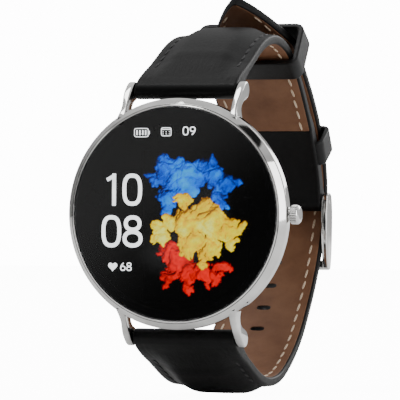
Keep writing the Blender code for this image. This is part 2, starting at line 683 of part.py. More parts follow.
def slot_lengths(lower):
    """The adjusting slots along the tail, the fifth being the one in use."""
    used = lower.path.where_height(USED_SLOT_HEIGHT, 60)
    return [used + SLOT_PITCH * k for k in (-4, -3, -2, -1, 0, 1, 2, 3)]


def slot_cutter(path, s, length, width):
    """A rounded slot through the tail at this length."""
    centre, along, out = path.point(s), path.tangent(s), path.outward(s)
    outline = []
    corner = 0.45 * min(width, length)
    for x, y, start in ((1, 1, 0), (-1, 1, 90), (-1, -1, 180), (1, -1, 270)):
        for k in range(3):
            a = math.radians(start + 45 * k)
            outline.append((x * (width / 2 - corner) + corner * math.cos(a), y * (length / 2 - corner) + corner * math.sin(a)))

    def place(a, b, level):
        """Outlines drawn as (x, along the strap) and carried outwards."""
        spot = centre + b * along + level * out
        return (a, spot[0] - THICKNESS, spot[1])

    return extruded(outline, place, -0.8, 3.2)


def build_straps(upper, lower):
    """The leather, padding and lining of both halves."""
    for half, label in ((upper, "12"), (lower, "6")):
        end = half.path.length
        first = [0.06, 0.4, 0.95, END_HALF_THICKNESS, 3.4, 5.0, 5.1, 8.0, 10.0, 13.0]
        if half.tail:
            marks = first + [41.0, 46.0, end - TIP_LENGTH, end - 10, end - 6, end - 3, end - 1.2, end - 0.25]
        else:
            marks = first + [end - 24, end - 21, end - FOLD_LENGTH - 0.1, end - FOLD_LENGTH, end - 14, end - 4.5, end - 2.6,
                             end - END_HALF_THICKNESS, end - 0.95, end - 0.4, end - 0.06]
        skin = add_piece(f"strap_{label}_leather", *sweep(half.path, stations(marks, 3.4), half.skin), "leather")
        lining_end = end - 0.35 if half.tail else end - FOLD_LENGTH - 0.15
        inner = stations([m for m in marks if 5.15 < m < lining_end] + [5.2, lining_end], 3.4)
        lining = add_piece(f"strap_{label}_lining", *sweep(half.path, inner, half.lining), "lining")
        core = stations([m for m in marks if half.pad_span[0] < m < half.pad_span[1]] + list(half.pad_span), 3.4)
        add_piece(f"strap_{label}_padding", *sweep(half.path, core, half.padding), "foam")
        tunnel = cylinder_x(BAR_RADIUS + 0.15, -LUG_GAP, LUG_GAP, BAR_DEPTH, BAR_HEIGHT * half.path.side, 20)
        boolean(skin, [tunnel], "DIFFERENCE", "bar_tunnel")
        if half.tail:
            lengths = slot_lengths(half)
            long = [USED_SLOT_LENGTH if k == 4 else SLOT_LENGTH for k in range(len(lengths))]
            cuts = [slot_cutter(half.path, s, length, SLOT_WIDTH) for s, length in zip(lengths, long)]
            boolean(skin, cuts, "DIFFERENCE", "slots")
            boolean(lining, cuts, "DIFFERENCE", "slots")
            continue
        depth, height = buckle_pin_place(half)
        tunnel = cylinder_x(PIN_RADIUS + PIN_CLEARANCE, -LUG_GAP, LUG_GAP, depth, height, 20)
        boolean(skin, [tunnel], "DIFFERENCE", "pin_tunnel")
        mouth = half.path.at(end - 1.0, 1.6)
        boolean(skin, [block(-1.45, 1.45, mouth[0] - 4, mouth[0] + 4, mouth[1] - 3.5, mouth[1] + 3.6)], "DIFFERENCE", "tongue_slot")
        boolean(skin, [keeper_tunnel(half)], "DIFFERENCE", "keeper_tunnel")


def keeper_ring(path, s, low, high, half, wall, length):
    """A rounded rectangular band round the strap, straight along the path's tangent at s."""
    centre, along, out = path.point(s), path.tangent(s), path.outward(s)
    points = []
    levels = [-length / 2, -length / 2 + 0.25, length / 2 - 0.25, length / 2]
    count = 16

    def loop(x, bottom, top, radius):
        """A rounded rectangle as (x, rise)."""
        ring = []
        corners = ((x - radius, top - radius, 0), (-x + radius, top - radius, 90),
                   (-x + radius, bottom + radius, 180), (x - radius, bottom + radius, 270))
        for cx, cy, start in corners:
            for k in range(4):
                a = math.radians(start + 30 * k)
                ring.append((cx + radius * math.cos(a), cy + radius * math.sin(a)))
        return ring

    outer = loop(half + wall, low - wall, high + wall, 1.3)
    eased = loop(half + wall - 0.15, low - wall + 0.15, high + wall - 0.15, 1.15)
    inner = loop(half, low, high, 0.4)
    rows = [(levels[0], eased), (levels[1], outer), (levels[2], outer), (levels[3], eased), (levels[3], inner), (levels[0], inner)]
    for level, ring in rows:
        for x, rise in ring:
            spot = centre + level * along + rise * out
            points.append((x, spot[0] - THICKNESS, spot[1]))
    faces = []
    for row in range(len(rows)):
        after = (row + 1) % len(rows)
        for k in range(count):
            n = (k + 1) % count
            faces.append((row * count + k, row * count + n, after * count + n, after * count + k))
    return points, faces


def fixed_keeper_length(upper):
    """Where the fixed keeper sits along the twelve o'clock half."""
    return upper.path.length - FIXED_KEEPER_FROM_END


def free_keeper_length(upper):
    """Where the free keeper rests along the twelve o'clock half."""
    return upper.path.where_height(FREE_KEEPER_HEIGHT * LOOP_GROWTH, 30)


def keeper_tunnel(upper):
    """The passage of the fixed keeper's inner leg between the leather and its folded end."""
    s = fixed_keeper_length(upper)
    centre, along, out = upper.path.point(s), upper.path.tangent(s), upper.path.outward(s)
    reach = KEEPER_LENGTH / 2 + 0.25
    outline = [(0.62, -reach), (1.62, -reach), (1.62, reach), (0.62, reach)]

    def place(a, b, level):
        """Outlines drawn as (outwards, along the strap) and carried along X."""
        spot = centre + b * along + a * out
        return (level, spot[0] - THICKNESS, spot[1])

    return extruded(outline, place, -LUG_GAP, LUG_GAP)


def tail_rise(upper, lower, s):
    """How high the tail's outer face stands above the twelve o'clock half within a keeper's length of s."""
    offsets = lower.path.rows - upper.path.point(s)
    near = (np.abs(offsets @ upper.path.tangent(s)) < KEEPER_LENGTH / 2) & (lower.path.rows[:, 1] > 0)
    return float((offsets @ upper.path.outward(s))[near].max()) + TAIL_EDGE


def build_keepers(upper, lower):
    """The fixed and the free keeper."""
    s = fixed_keeper_length(upper)
    high = tail_rise(upper, lower, s) + FIXED_KEEPER_ROOM
    fixed = keeper_ring(upper.path, s, 1.52, high, KEEPER_HALF, FIXED_KEEPER_WALL, KEEPER_LENGTH)
    add_piece("fixed_keeper", *fixed, "leather")
    s = free_keeper_length(upper)
    high = tail_rise(upper, lower, s) + FREE_KEEPER_ROOM
    free = keeper_ring(upper.path, s, -0.65, high, FREE_KEEPER_HALF, KEEPER_WALL, KEEPER_LENGTH)
    add_piece("free_keeper", *free, "leather")


def build_buckle(upper, lower):
    """The buckle frame, its tongue and the pin."""
    depth, height = buckle_pin_place(upper)
    shoulder, tip = ARM_IN - 0.15, ARM_OUT - 0.1
    pin = [
        (0.0, -tip), (PIN_TIP_RADIUS, -tip), (PIN_TIP_RADIUS, -shoulder), (PIN_RADIUS, -shoulder),
        (PIN_RADIUS, shoulder), (PIN_TIP_RADIUS, shoulder), (PIN_TIP_RADIUS, tip), (0.0, tip),
    ]
    round_bar_x("buckle_pin", pin, "steel", depth, height, 20)

    bar = lower.path.at(lower.path.where_height(FRONT_BAR_HEIGHT, 60), TAIL_EDGE + 0.35 + FRONT_BAR_RADIUS)
    outline = [
        (depth - 1.2, height + 1.3), (depth, height + 1.8), (depth + 1.3, height + 1.2), (depth + 1.85, height - 1.2),
        (depth + 1.95, height - 4.5), (bar[0] + 1.45, bar[1] + 3.6), (bar[0] + 1.1, bar[1] + 0.9), (bar[0] + 0.55, bar[1] - 0.75),
        (bar[0] - 0.6, bar[1] - 0.8), (bar[0] - 1.2, bar[1] + 0.3), (depth - 1.75, height - 7.2), (depth - 1.9, height - 4.0),
        (depth - 1.7, height - 1.0),
    ]
    arms = [extruded(smooth_outline(outline, 2), side_plane, *ends, 0.2) for ends in ((-ARM_OUT, -ARM_IN), (ARM_IN, ARM_OUT))]
    frame = add_piece("buckle_frame", *cylinder_x(FRONT_BAR_RADIUS, -ARM_IN - 0.6, ARM_IN + 0.6, bar[0], bar[1], 20), "polished")
    boolean(frame, arms, "UNION", "arms")
    holes = cylinder_x(PIN_TIP_RADIUS + 0.1, -LUG_GAP, LUG_GAP, depth, height, 16)
    boolean(frame, [holes], "DIFFERENCE", "pin_holes")

    line = [
        (depth - 0.2, height - 0.9), (depth - 0.6, height - 2.6), (depth - 0.7, height - 4.8), (depth - 0.1, height - 6.4),
        (depth + 1.0, height - 7.6), (depth + 1.9, height - 8.9), (bar[0] + FRONT_BAR_RADIUS + 0.75, bar[1] + 2.2),
        (bar[0] + FRONT_BAR_RADIUS + 0.65, bar[1]), (bar[0] + FRONT_BAR_RADIUS + 0.25, bar[1] - 1.3),
    ]
    path = Path(line, 1)
    ring = ((1.05, -0.2), (0.85, -0.35), (-0.85, -0.35), (-1.05, -0.2), (-1.05, 0.2), (-0.85, 0.35), (0.85, 0.35), (1.05, 0.2))

    def section(s):
        """The rod's section, slimmer at its tip."""
        thin = 1.0 if s < path.length - 1 else 0.75
        return [(x, rise * thin) for x, rise in ring]

    rod = sweep(path, list(np.linspace(0, path.length, 16)), section)
    bore = PIN_RADIUS + PIN_CLEARANCE
    hub = [(bore, -1.1), (bore + 0.68, -1.1), (bore + 0.68, 1.1), (bore, 1.1)]
    tongue = add_piece("buckle_tongue", *turned(hub, 24, about_x(depth, height)), "polished")
    boolean(tongue, [rod], "UNION", "rod")
    boolean(tongue, [cylinder_x(bore, -3, 3, depth, height, 24)], "DIFFERENCE", "bore")


def main():
    """Builds every piece in place."""
    clear_scene()
    build_case()
    build_inside()
    build_crown()
    build_spring_bars()
    upper, lower = straps()
    build_straps(upper, lower)
    build_keepers(upper, lower)
    build_buckle(upper, lower)


main()
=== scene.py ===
"""Looks of a round smartwatch on a buckled leather strap.

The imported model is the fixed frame. Every visible piece is a surface worked out on a grid, in millimetres,
and put in its place in the frame. Depth is measured backwards from the front of the cover glass.
"""

import logging
import math
from dataclasses import dataclass, field
from enum import Enum

import bmesh
import bpy
import mathutils
import numpy as np
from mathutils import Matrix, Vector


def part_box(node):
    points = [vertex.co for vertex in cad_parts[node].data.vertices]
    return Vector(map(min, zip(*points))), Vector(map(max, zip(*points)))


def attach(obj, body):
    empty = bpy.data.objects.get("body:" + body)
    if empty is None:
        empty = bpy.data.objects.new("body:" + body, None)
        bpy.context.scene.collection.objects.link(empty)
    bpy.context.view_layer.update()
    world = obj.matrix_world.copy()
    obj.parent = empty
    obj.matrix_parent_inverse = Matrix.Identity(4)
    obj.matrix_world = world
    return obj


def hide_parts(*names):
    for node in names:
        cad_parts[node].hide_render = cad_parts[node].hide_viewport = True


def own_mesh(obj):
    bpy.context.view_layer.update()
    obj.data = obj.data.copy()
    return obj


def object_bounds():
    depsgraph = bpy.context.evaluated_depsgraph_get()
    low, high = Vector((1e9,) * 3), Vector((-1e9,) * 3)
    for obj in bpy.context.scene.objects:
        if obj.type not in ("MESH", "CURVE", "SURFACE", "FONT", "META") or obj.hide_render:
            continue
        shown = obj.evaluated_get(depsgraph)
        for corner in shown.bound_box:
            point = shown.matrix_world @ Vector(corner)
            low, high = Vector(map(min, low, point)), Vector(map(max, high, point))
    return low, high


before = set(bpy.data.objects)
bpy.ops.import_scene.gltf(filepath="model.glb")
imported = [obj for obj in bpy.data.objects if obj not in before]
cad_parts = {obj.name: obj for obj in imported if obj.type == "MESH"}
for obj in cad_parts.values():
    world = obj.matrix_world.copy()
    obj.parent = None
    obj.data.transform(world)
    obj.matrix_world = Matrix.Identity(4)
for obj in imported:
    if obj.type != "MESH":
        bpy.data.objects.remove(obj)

Array = np.ndarray
Tree = bpy.types.NodeTree
Node = bpy.types.Node
Socket = bpy.types.NodeSocket
log = logging.getLogger("watch")

CAD_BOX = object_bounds()
MM = 0.001
THICKNESS = -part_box("cover_glass")[0][1] / MM
BAR_LOW, BAR_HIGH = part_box("spring_bar_12_tube")
BAR_DEPTH = (BAR_LOW[1] + BAR_HIGH[1]) / 2 / MM + THICKNESS
BAR_HEIGHT = (BAR_LOW[2] + BAR_HIGH[2]) / 2 / MM
PIN_LOW, PIN_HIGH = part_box("buckle_pin")
PIN_DEPTH = (PIN_LOW[1] + PIN_HIGH[1]) / 2 / MM + THICKNESS
PIN_HEIGHT = (PIN_LOW[2] + PIN_HIGH[2]) / 2 / MM


# ---------------------------------------------------------------- shader nodes


def linear(code: str) -> tuple[float, float, float, float]:
    """An sRGB hex colour as linear RGBA.

    Args:
        code: six hex digits.

    Returns:
        The colour with alpha 1.
    """
    parts = [int(code[i : i + 2], 16) / 255 for i in (0, 2, 4)]
    return (*(c / 12.92 if c <= 0.04045 else ((c + 0.055) / 1.055) ** 2.4 for c in parts), 1.0)


def add_node(tree: Tree, kind: str, settings: dict | None = None, **inputs: object) -> Node:
    """Adds one node, with its settings, and links or sets its inputs.

    Args:
        tree: the node tree.
        kind: the node's type without its "ShaderNode" prefix.
        settings: attributes to set. "stops" fills a colour ramp with (place, hex colour) pairs.
        inputs: values or sockets by input name, with _ for a space, or by place as i0, i1 and so on.

    Returns:
        The new node.
    """
    made = tree.nodes.new("ShaderNode" + kind)
    for name, value in (settings or {}).items():
        if name != "stops":
            setattr(made, name, value)
            continue
        for element, (place, code) in zip(made.color_ramp.elements, value):
            element.position = place
            element.color = linear(code)
    for key, value in inputs.items():
        by_place = key[0] == "i" and key[1:].isdigit()
        socket = made.inputs[int(key[1:])] if by_place else made.inputs[key.replace("_", " ")]
        if isinstance(value, Socket):
            tree.links.new(value, socket)
        else:
            socket.default_value = value
    return made


def maths(tree: Tree, operation: str, *values: Socket | float) -> Socket:
    """One Math node's result.

    Args:
        tree: the node tree.
        operation: Blender's name of the operation.
        values: numbers or sockets.

    Returns:
        The result's socket.
    """
    inputs = {f"i{k}": value for k, value in enumerate(values)}
    return add_node(tree, "Math", {"operation": operation}, **inputs).outputs[0]


def ranged(tree: Tree, value: Socket, low: float, high: float, to_low: float, to_high: float) -> Socket:
    """A value carried smoothly from one range to another.

    Args:
        tree: the node tree.
        value: the socket to read.
        low: where the change starts.
        high: where it ends.
        to_low: the result before it.
        to_high: the result after it.

    Returns:
        The result's socket.
    """
    smooth = {"interpolation_type": "SMOOTHSTEP"}
    return add_node(tree, "MapRange", smooth, i0=value, i1=low, i2=high, i3=to_low, i4=to_high).outputs[0]


@dataclass(frozen=True)
class Canvas:
    """A material in the making: its node tree, its Principled shader and the object coordinates in metres."""

    tree: Tree
    shader: Node
    place: Socket

    def set(self, name: str, value: object) -> None:
        """Sets one of the shader's inputs."""
        self.shader.inputs[name].default_value = value

    def link(self, name: str, value: Socket) -> None:
        """Links one of the shader's inputs."""
        self.tree.links.new(value, self.shader.inputs[name])

    def noise(self, scale: float, **inputs: float) -> Socket:
        """Noise over the object coordinates."""
        return add_node(self.tree, "TexNoise", Vector=self.place, Scale=scale, **inputs).outputs["Fac"]

    def attribute(self, name: str, output: str) -> Socket:
        """One output of an attribute that is stored on the piece."""
        return add_node(self.tree, "Attribute", {"attribute_name": name}).outputs[output]

    def mixed(self, one: Socket, share_one: float, two: Socket, share_two: float) -> Socket:
        """The sum of two sockets, each times its share."""
        scaled = [maths(self.tree, "MULTIPLY", one, share_one), maths(self.tree, "MULTIPLY", two, share_two)]
        return maths(self.tree, "ADD", *scaled)

    def ramp(self, shade: Socket, *stops: tuple[float, str]) -> Socket:
        """The colour between two (place, hex colour) stops."""
        return add_node(self.tree, "ValToRGB", {"stops": stops}, i0=shade).outputs[0]

    def rough(self, value: Socket, spread: float, base: float) -> None:
        """Roughness: the base plus a share of a pattern."""
        self.link("Roughness", maths(self.tree, "ADD", maths(self.tree, "MULTIPLY", value, spread), base))

    def relief(self, height: Socket, strength: float, distance: float) -> None:
        """Bump from a height."""
        bump = add_node(self.tree, "Bump", Strength=strength, Distance=distance, Height=height)
        self.link("Normal", bump.outputs[0])


# ---------------------------------------------------------------- finishes


@dataclass(frozen=True)
class Finish:
    """A finish: its material's name and the record's material slot that it belongs to."""

    name: str
    slot: str

    def dress(self, canvas: Canvas) -> None:
        """Links the pattern to the shader. Each finish has its own."""
        raise NotImplementedError

    def material(self) -> bpy.types.Material:
        """The finish's material, made once.

        Returns:
            The material.
        """
        made = bpy.data.materials.get(self.name)
        if made:
            return made
        made = bpy.data.materials.new(self.name)
        made.use_nodes = True
        tree = made.node_tree
        self.dress(Canvas(tree, tree.nodes["Principled BSDF"], add_node(tree, "TexCoord").outputs["Object"]))
        return made


class Grinding(Enum):
    """How steel was finished: the finish's name, the spread of its roughness and its hair lines' strength."""

    ROUND = ("round", 0.045, 0.2)
    PLAIN = ("plain", 0.035, 0.2)
    POLISHED = ("polished", 0.035, 0.05)


@dataclass(frozen=True)
class Steel(Finish):
    """Stainless steel 316L: ground, it shows hair lines that run round the case, and polished, faint wear."""

    tint: str = "C9C8C6"
    roughness: float = 0.2
    grinding: Grinding = Grinding.PLAIN
    line_mm: float = 0.16
    worn_tint: str = "D8D7D5"
    smear_scale: float = 260.0
    turn_scale: float = 0.0012
    relief_m: float = 0.000012

    def dress(self, canvas: Canvas) -> None:
        """Hair lines follow the radius about the case's axis. Wear is fine noise in roughness.

        Args:
            canvas: the material to dress.
        """
        canvas.set("Metallic", 1.0)
        tree, grain = canvas.tree, canvas.place
        _, spread, strength = self.grinding.value
        if self.grinding is Grinding.ROUND:
            x, y, z = add_node(tree, "SeparateXYZ", i0=canvas.place).outputs
            squares = [maths(tree, "MULTIPLY", part, part) for part in (x, z)]
            radius = maths(tree, "SQRT", maths(tree, "ADD", *squares))
            turn = maths(tree, "MULTIPLY", maths(tree, "ARCTAN2", z, x), self.turn_scale)
            grain = add_node(tree, "CombineXYZ", i0=radius, i1=turn, i2=y).outputs[0]
        scale = 1.0 / (self.line_mm * MM)
        inputs = {"Vector": grain, "Scale": scale, "Detail": 3.0, "Roughness": 0.6}
        lines = add_node(tree, "TexNoise", **inputs).outputs["Fac"]
        smears = canvas.noise(self.smear_scale, Detail=4.0)
        wear = canvas.mixed(lines, spread, smears, spread)
        canvas.link("Roughness", maths(tree, "ADD", wear, self.roughness - spread))
        canvas.link("Base Color", canvas.ramp(smears, (0.3, self.tint), (0.75, self.worn_tint)))
        canvas.relief(lines, strength, self.relief_m)


@dataclass(frozen=True)
class Leather(Finish):
    """Calf leather: a fine pebbled grain with pores, a satin top coat and a slow change of shade."""

    dark: str = "161617"
    light: str = "242425"
    grain_mm: float = 0.75
    depth_mm: float = 0.035
    roughness: float = 0.42
    creases: bool = False
    gloss: float = 0.2
    shade_scale: float = 140.0
    fold_scale: float = 900.0
    fold_height: float = 3.2

    def dress(self, canvas: Canvas) -> None:
        """Pebbles are Voronoi cells, pores fine noise, and wrinkles stretched noise where crease says so.

        Args:
            canvas: the material to dress.
        """
        tree, place, scale = canvas.tree, canvas.place, 1.0 / (self.grain_mm * MM)
        smooth = {"feature": "SMOOTH_F1"}
        cells = add_node(tree, "TexVoronoi", smooth, Vector=place, Scale=scale, Smoothness=0.6)
        pores = canvas.noise(scale * 2.2, Detail=4.0, Roughness=0.65)
        shade = canvas.noise(self.shade_scale, Detail=5.0, Roughness=0.6)
        height = canvas.mixed(cells.outputs["Distance"], -0.7, pores, 0.6)
        if self.creases:
            stretched = add_node(tree, "Mapping", Vector=place, Scale=(2.4, 0.5, 0.5)).outputs[0]
            inputs = {"Vector": stretched, "Scale": self.fold_scale, "Detail": 3.0, "Distortion": 0.6}
            folds = add_node(tree, "TexNoise", **inputs).outputs["Fac"]
            creased = maths(tree, "MULTIPLY", folds, canvas.attribute("crease", "Fac"))
            height = maths(tree, "ADD", height, maths(tree, "MULTIPLY", creased, self.fold_height))
        canvas.link("Base Color", canvas.ramp(shade, (0.3, self.dark), (0.72, self.light)))
        canvas.set("Specular IOR Level", self.gloss)
        canvas.rough(pores, 0.16, self.roughness - 0.08)
        canvas.relief(height, 0.55, self.depth_mm * MM)


@dataclass(frozen=True)
class Thread(Finish):
    """Waxed polyester thread, twisted from plies, so its stitches show slanting ridges."""

    dark: str = "C9B49B"
    light: str = "E6D8C6"
    ply_mm: float = 0.35
    fluff_scale: float = 2500.0
    relief_m: float = 0.00003

    def dress(self, canvas: Canvas) -> None:
        """Plies are diagonal bands of a wave, and the dye varies a little. The ply bands also set the colour
        as painted shade, darker in the grooves between plies and lighter on their ridges.

        Args:
            canvas: the material to dress.
        """
        bands = {"wave_type": "BANDS", "bands_direction": "DIAGONAL"}
        scale = 0.3 / (self.ply_mm * MM)
        plies = add_node(canvas.tree, "TexWave", bands, Vector=canvas.place, Scale=scale, Distortion=0.6)
        fluff = canvas.noise(self.fluff_scale, Detail=3.0)
        mixed = canvas.mixed(plies.outputs["Fac"], 0.5, fluff, 0.5)
        # painted shade: the ply bands make the colour darker in the grooves and lighter on the ridges; the
        # fluff noise is the dye's own variation
        canvas.link("Base Color", canvas.ramp(mixed, (0.25, self.dark), (0.7, self.light)))
        canvas.rough(fluff, 0.2, 0.5)
        canvas.relief(mixed, 0.5, self.relief_m)


@dataclass(frozen=True)
class Moulded(Finish):
    """Moulded, painted or printed matter: a fine texture, a slow change of shade and a little gloss."""

    dark: str = "1A1A1B"
    light: str = "242426"
    roughness: float = 0.5
    metallic: float = 0.0
    grain_mm: float = 0.3
    bump: float = 0.25
    specular: float = 0.5
    shade_scale: float = 180.0
    relief_m: float = 0.00003

    def dress(self, canvas: Canvas) -> None:
        """Texture and shade are two sizes of noise.

        Args:
            canvas: the material to dress.
        """
        canvas.set("Metallic", self.metallic)
        if self.specular < 0.5:
            canvas.set("Specular IOR Level", self.specular)
        fine = canvas.noise(1.0 / (self.grain_mm * MM), Detail=3.0)
        slow = canvas.noise(self.shade_scale, Detail=3.0)
        canvas.link("Base Color", canvas.ramp(slow, (0.35, self.dark), (0.68, self.light)))
        canvas.rough(fine, 0.14, self.roughness - 0.07)
        canvas.relief(fine, self.bump, self.relief_m)


@dataclass(frozen=True)
class CoverGlass(Finish):
    """Polished mineral glass: clear, mirror smooth, with a faint film of finger marks in its gloss."""

    tint: str = "F4F6F8"
    film_scale: float = 120.0

    def dress(self, canvas: Canvas) -> None:
        """The film is slow noise in roughness.

        Args:
            canvas: the material to dress.
        """
        canvas.set("Base Color", linear(self.tint))
        canvas.set("Transmission Weight", 1.0)
        canvas.set("IOR", 1.5)
        film = canvas.noise(self.film_scale, Detail=5.0)
        canvas.link("Roughness", maths(canvas.tree, "MULTIPLY", film, 0.05))


@dataclass(frozen=True)
class InkPixels(Finish):
    """Lit pixels of the display that show ink in dark water, in the colours stored on the piece as "ink"."""

    glow: float = 1.4
    uneven_scale: float = 1400.0

    def dress(self, canvas: Canvas) -> None:
        """The stored colours, a little uneven as a display's light is.

        Args:
            canvas: the material to dress.
        """
        canvas.set("Base Color", linear("000000"))
        canvas.set("Specular IOR Level", 0.0)
        uneven = canvas.ramp(canvas.noise(self.uneven_scale, Detail=3.0), (0.25, "E0E0E0"), (0.7, "FFFFFF"))
        times = {"data_type": "RGBA", "blend_type": "MULTIPLY"}
        seen = add_node(canvas.tree, "Mix", times, i0=1.0, i6=canvas.attribute("ink", "Color"), i7=uneven)
        canvas.link("Emission Color", seen.outputs[2])
        canvas.set("Emission Strength", self.glow)


@dataclass(frozen=True)
class LitSign(Finish):
    """Lit white pixels of the display."""

    colour: str = "FFFFFF"
    glow: float = 2.6
    uneven_scale: float = 400.0

    def dress(self, canvas: Canvas) -> None:
        """A faint unevenness of the display's light.

        Args:
            canvas: the material to dress.
        """
        canvas.set("Base Color", linear("101010"))
        canvas.set("Roughness", 0.4)
        uneven = canvas.noise(self.uneven_scale)
        canvas.link("Emission Color", canvas.ramp(uneven, (0.2, "E2E5E8"), (0.6, self.colour)))
        canvas.set("Emission Strength", self.glow)


GROUND_STEEL = Steel("stainless_steel_ground_round", "brushed_case_steel", "BDBCBA", 0.055, Grinding.ROUND)
POLISHED_STEEL = Steel("stainless_steel_polished", "polished_steel", "CFCECC", 0.09, Grinding.POLISHED, 0.4)
TURNED_STEEL = Steel("stainless_steel_turned", "turned_steel", "AEADAB", 0.26, line_mm=0.2)
CALF = Leather("calf_leather_black_glazed", "black_leather", "050505", "0B0B0B", 0.8, 0.035, 0.46, True, 0.13)
BRIDLE = Leather("calf_leather_black_keeper", "black_leather", "060606", "0E0E0E", 0.8, 0.03, 0.44)
LINING = Leather(
    "lining_leather_brown_buffed", "brown_leather", "5A3822", "745037", 0.9, 0.03, 0.62, gloss=0.3
)
TAN_THREAD = Thread("polyester_thread_tan_twisted", "brown_leather", "A58C72", "C9B49C")
BLACK_THREAD = Thread("polyester_thread_black_twisted", "black_leather", "050505", "0D0D0E")
GLASS = CoverGlass("mineral_glass_polished", "dark_glass")
BLACK_PRINT = Moulded(
    "enamel_ink_black_printed", "black_plastic", "000001", "010102", 0.7,
    grain_mm=0.4, bump=0.05, specular=0.02,
)
WINDOW = Moulded(
    "ceramic_glass_black_polished", "dark_glass", "08080A", "0E0E11", 0.08, grain_mm=0.5, bump=0.03
)
DARK_SCREEN = Moulded(
    "oled_display_dark", "black_plastic", "000000", "010101", 0.9, grain_mm=0.5, bump=0.02, specular=0.0
)
INK = InkPixels("oled_pixels_inks", "black_plastic")
SIGNS = LitSign("oled_pixels_white", "black_plastic")
PLASTIC = Moulded("polycarbonate_black_moulded", "black_plastic")
RUBBER = Moulded("silicone_rubber_black_moulded", "seal_rubber", "151515", "1D1D1D", 0.75)
BOARD = Moulded("solder_mask_green_printed", "circuit_board", "0B3B22", "14522F", 0.4)
FOIL = Moulded("aluminium_foil_pouch_laminated", "battery_foil", "8C9094", "A9ADB1", 0.35, 0.6)
GOLD = Moulded("gold_plate_electroplated", "gold_contact", "D9A94A", "E8C070", 0.2, 1.0, 0.2, 0.1)


# ---------------------------------------------------------------- surfaces


def smoothstep(value: Array, low: float, high: float) -> Array:
    """0 before low, 1 after high, and a smooth cubic between.

    Args:
        value: the values.
        low: where it leaves 0.
        high: where it reaches 1.

    Returns:
        The blended values.
    """
    t = np.clip((value - low) / (high - low), 0.0, 1.0)
    return t * t * (3.0 - 2.0 * t)


def to_frame(x: Array, depth: Array, height: Array) -> Array:
    """Points in metres in the frame from millimetres across, deep and high."""
    return np.stack(np.broadcast_arrays(x, depth - THICKNESS, height), axis=-1) * MM


def grid_faces(rows: int, columns: int, around: bool) -> Array:
    """The quads of a grid, row by row.

    Args:
        rows: the number of rows.
        columns: the number of points in a row.
        around: whether each row closes on itself.

    Returns:
        An array of four indices to each quad.
    """
    last = columns if around else columns - 1
    row, column = np.meshgrid(np.arange(rows - 1), np.arange(last), indexing="ij")
    after = (column + 1) % columns
    here, below = row * columns, (row + 1) * columns
    quads = [here + column, here + after, below + after, below + column]
    return np.stack(quads, axis=-1).reshape(-1, 4)


@dataclass
class Skin:
    """Points and faces that become one piece."""

    points: list[Array] = field(default_factory=list)
    faces: list[Array] = field(default_factory=list)
    rings: list[list[int]] = field(default_factory=list)
    count: int = 0

    def grid(self, points: Array, around: bool = True, closed: bool = False, caps: bool = True) -> "Skin":
        """Adds a grid of points (rows, columns, 3) in metres.

        Args:
            points: the grid.
            around: whether each row closes on itself.
            closed: whether the last row meets the first.
            caps: whether the first and last rows are filled.

        Returns:
            The skin itself.
        """
        rows, columns = points.shape[:2]
        faces = grid_faces(rows, columns, around)
        if closed:
            start = (rows - 1) * columns
            k = np.arange(columns if around else columns - 1)
            n = (k + 1) % columns
            faces = np.concatenate([faces, np.stack([start + k, start + n, n, k], axis=-1)])
        elif caps and around:
            self.rings.append([self.count + k for k in range(columns)])
            self.rings.append([self.count + (rows - 1) * columns + k for k in range(columns)])
        self.points.append(points.reshape(-1, 3))
        self.faces.append(faces + self.count)
        self.count += rows * columns
        return self

    def piece(self, name: str, finish: Finish, sharp: float = 32.0) -> bpy.types.Object:
        """The skin as a smooth-shaded object with its faces outwards.

        Args:
            name: the piece's name.
            finish: its finish.
            sharp: the angle in degrees past which an edge stays sharp.

        Returns:
            The object.
        """
        mesh = bpy.data.meshes.new(name)
        faces = [list(face) for face in np.concatenate(self.faces).tolist()] + self.rings
        mesh.from_pydata(np.concatenate(self.points), [], faces)
        built = bmesh.new()
        built.from_mesh(mesh)
        bmesh.ops.remove_doubles(built, verts=built.verts, dist=1e-7)
        bmesh.ops.recalc_face_normals(built, faces=built.faces)
        built.to_mesh(mesh)
        built.free()
        mesh.shade_smooth()
        mesh.set_sharp_from_angle(angle=math.radians(sharp))
        obj = bpy.data.objects.new(name, mesh)
        bpy.context.scene.collection.objects.link(obj)
        mesh.materials.append(finish.material())
        return obj


def place_on(obj: bpy.types.Object, body: str, *nodes: str) -> bpy.types.Object:
    """Rides a piece on a body and lets it stand for its CAD nodes.

    Args:
        obj: the piece.
        body: the CAD body.
        nodes: the CAD nodes that it replaces.

    Returns:
        The piece.
    """
    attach(obj, body)
    if nodes:
        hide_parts(*nodes)
    log.info("%s rides on %s", obj.name, body)
    return obj


def eased(corners: list[tuple[float, float, float]], closed: bool, steps: int = 6) -> Array:
    """A polyline whose corners are rounded: each corner is a quadratic curve between points its radius away.

    Args:
        corners: (a, b, radius) of each corner.
        closed: whether the line closes.
        steps: the segments of each corner.

    Returns:
        The points of the rounded line.
    """
    spots = np.array([c[:2] for c in corners], float)
    out = []
    t = np.linspace(0, 1, steps + 1)[:, None]
    for k, (a, b, radius) in enumerate(corners):
        here = np.array([a, b])
        if radius <= 0 or (not closed and k in (0, len(corners) - 1)):
            out.append(here[None])
            continue
        before, after = spots[k - 1] - here, spots[(k + 1) % len(spots)] - here
        one = here + before / np.linalg.norm(before) * min(radius, np.linalg.norm(before) * 0.48)
        two = here + after / np.linalg.norm(after) * min(radius, np.linalg.norm(after) * 0.48)
        out.append((1 - t) ** 2 * one + 2 * t * (1 - t) * here + t**2 * two)
    return np.concatenate(out)


def turned(profile: Array, steps: int = 192, x: float = 0.0, z: float = 0.0) -> Array:
    """A profile of (radius, depth) turned about an axis along the depth, by the cosine and sine of the turn.

    Args:
        profile: the profile's points.
        steps: the points round the axis.
        x: the axis's place across.
        z: the axis's height.

    Returns:
        A grid of points with one row to each profile point.
    """
    turn = np.linspace(0, 2 * np.pi, steps, endpoint=False)[None]
    radius, depth = profile[:, :1], profile[:, 1:]
    return to_frame(x + radius * np.cos(turn), depth + 0 * turn, z + radius * np.sin(turn))


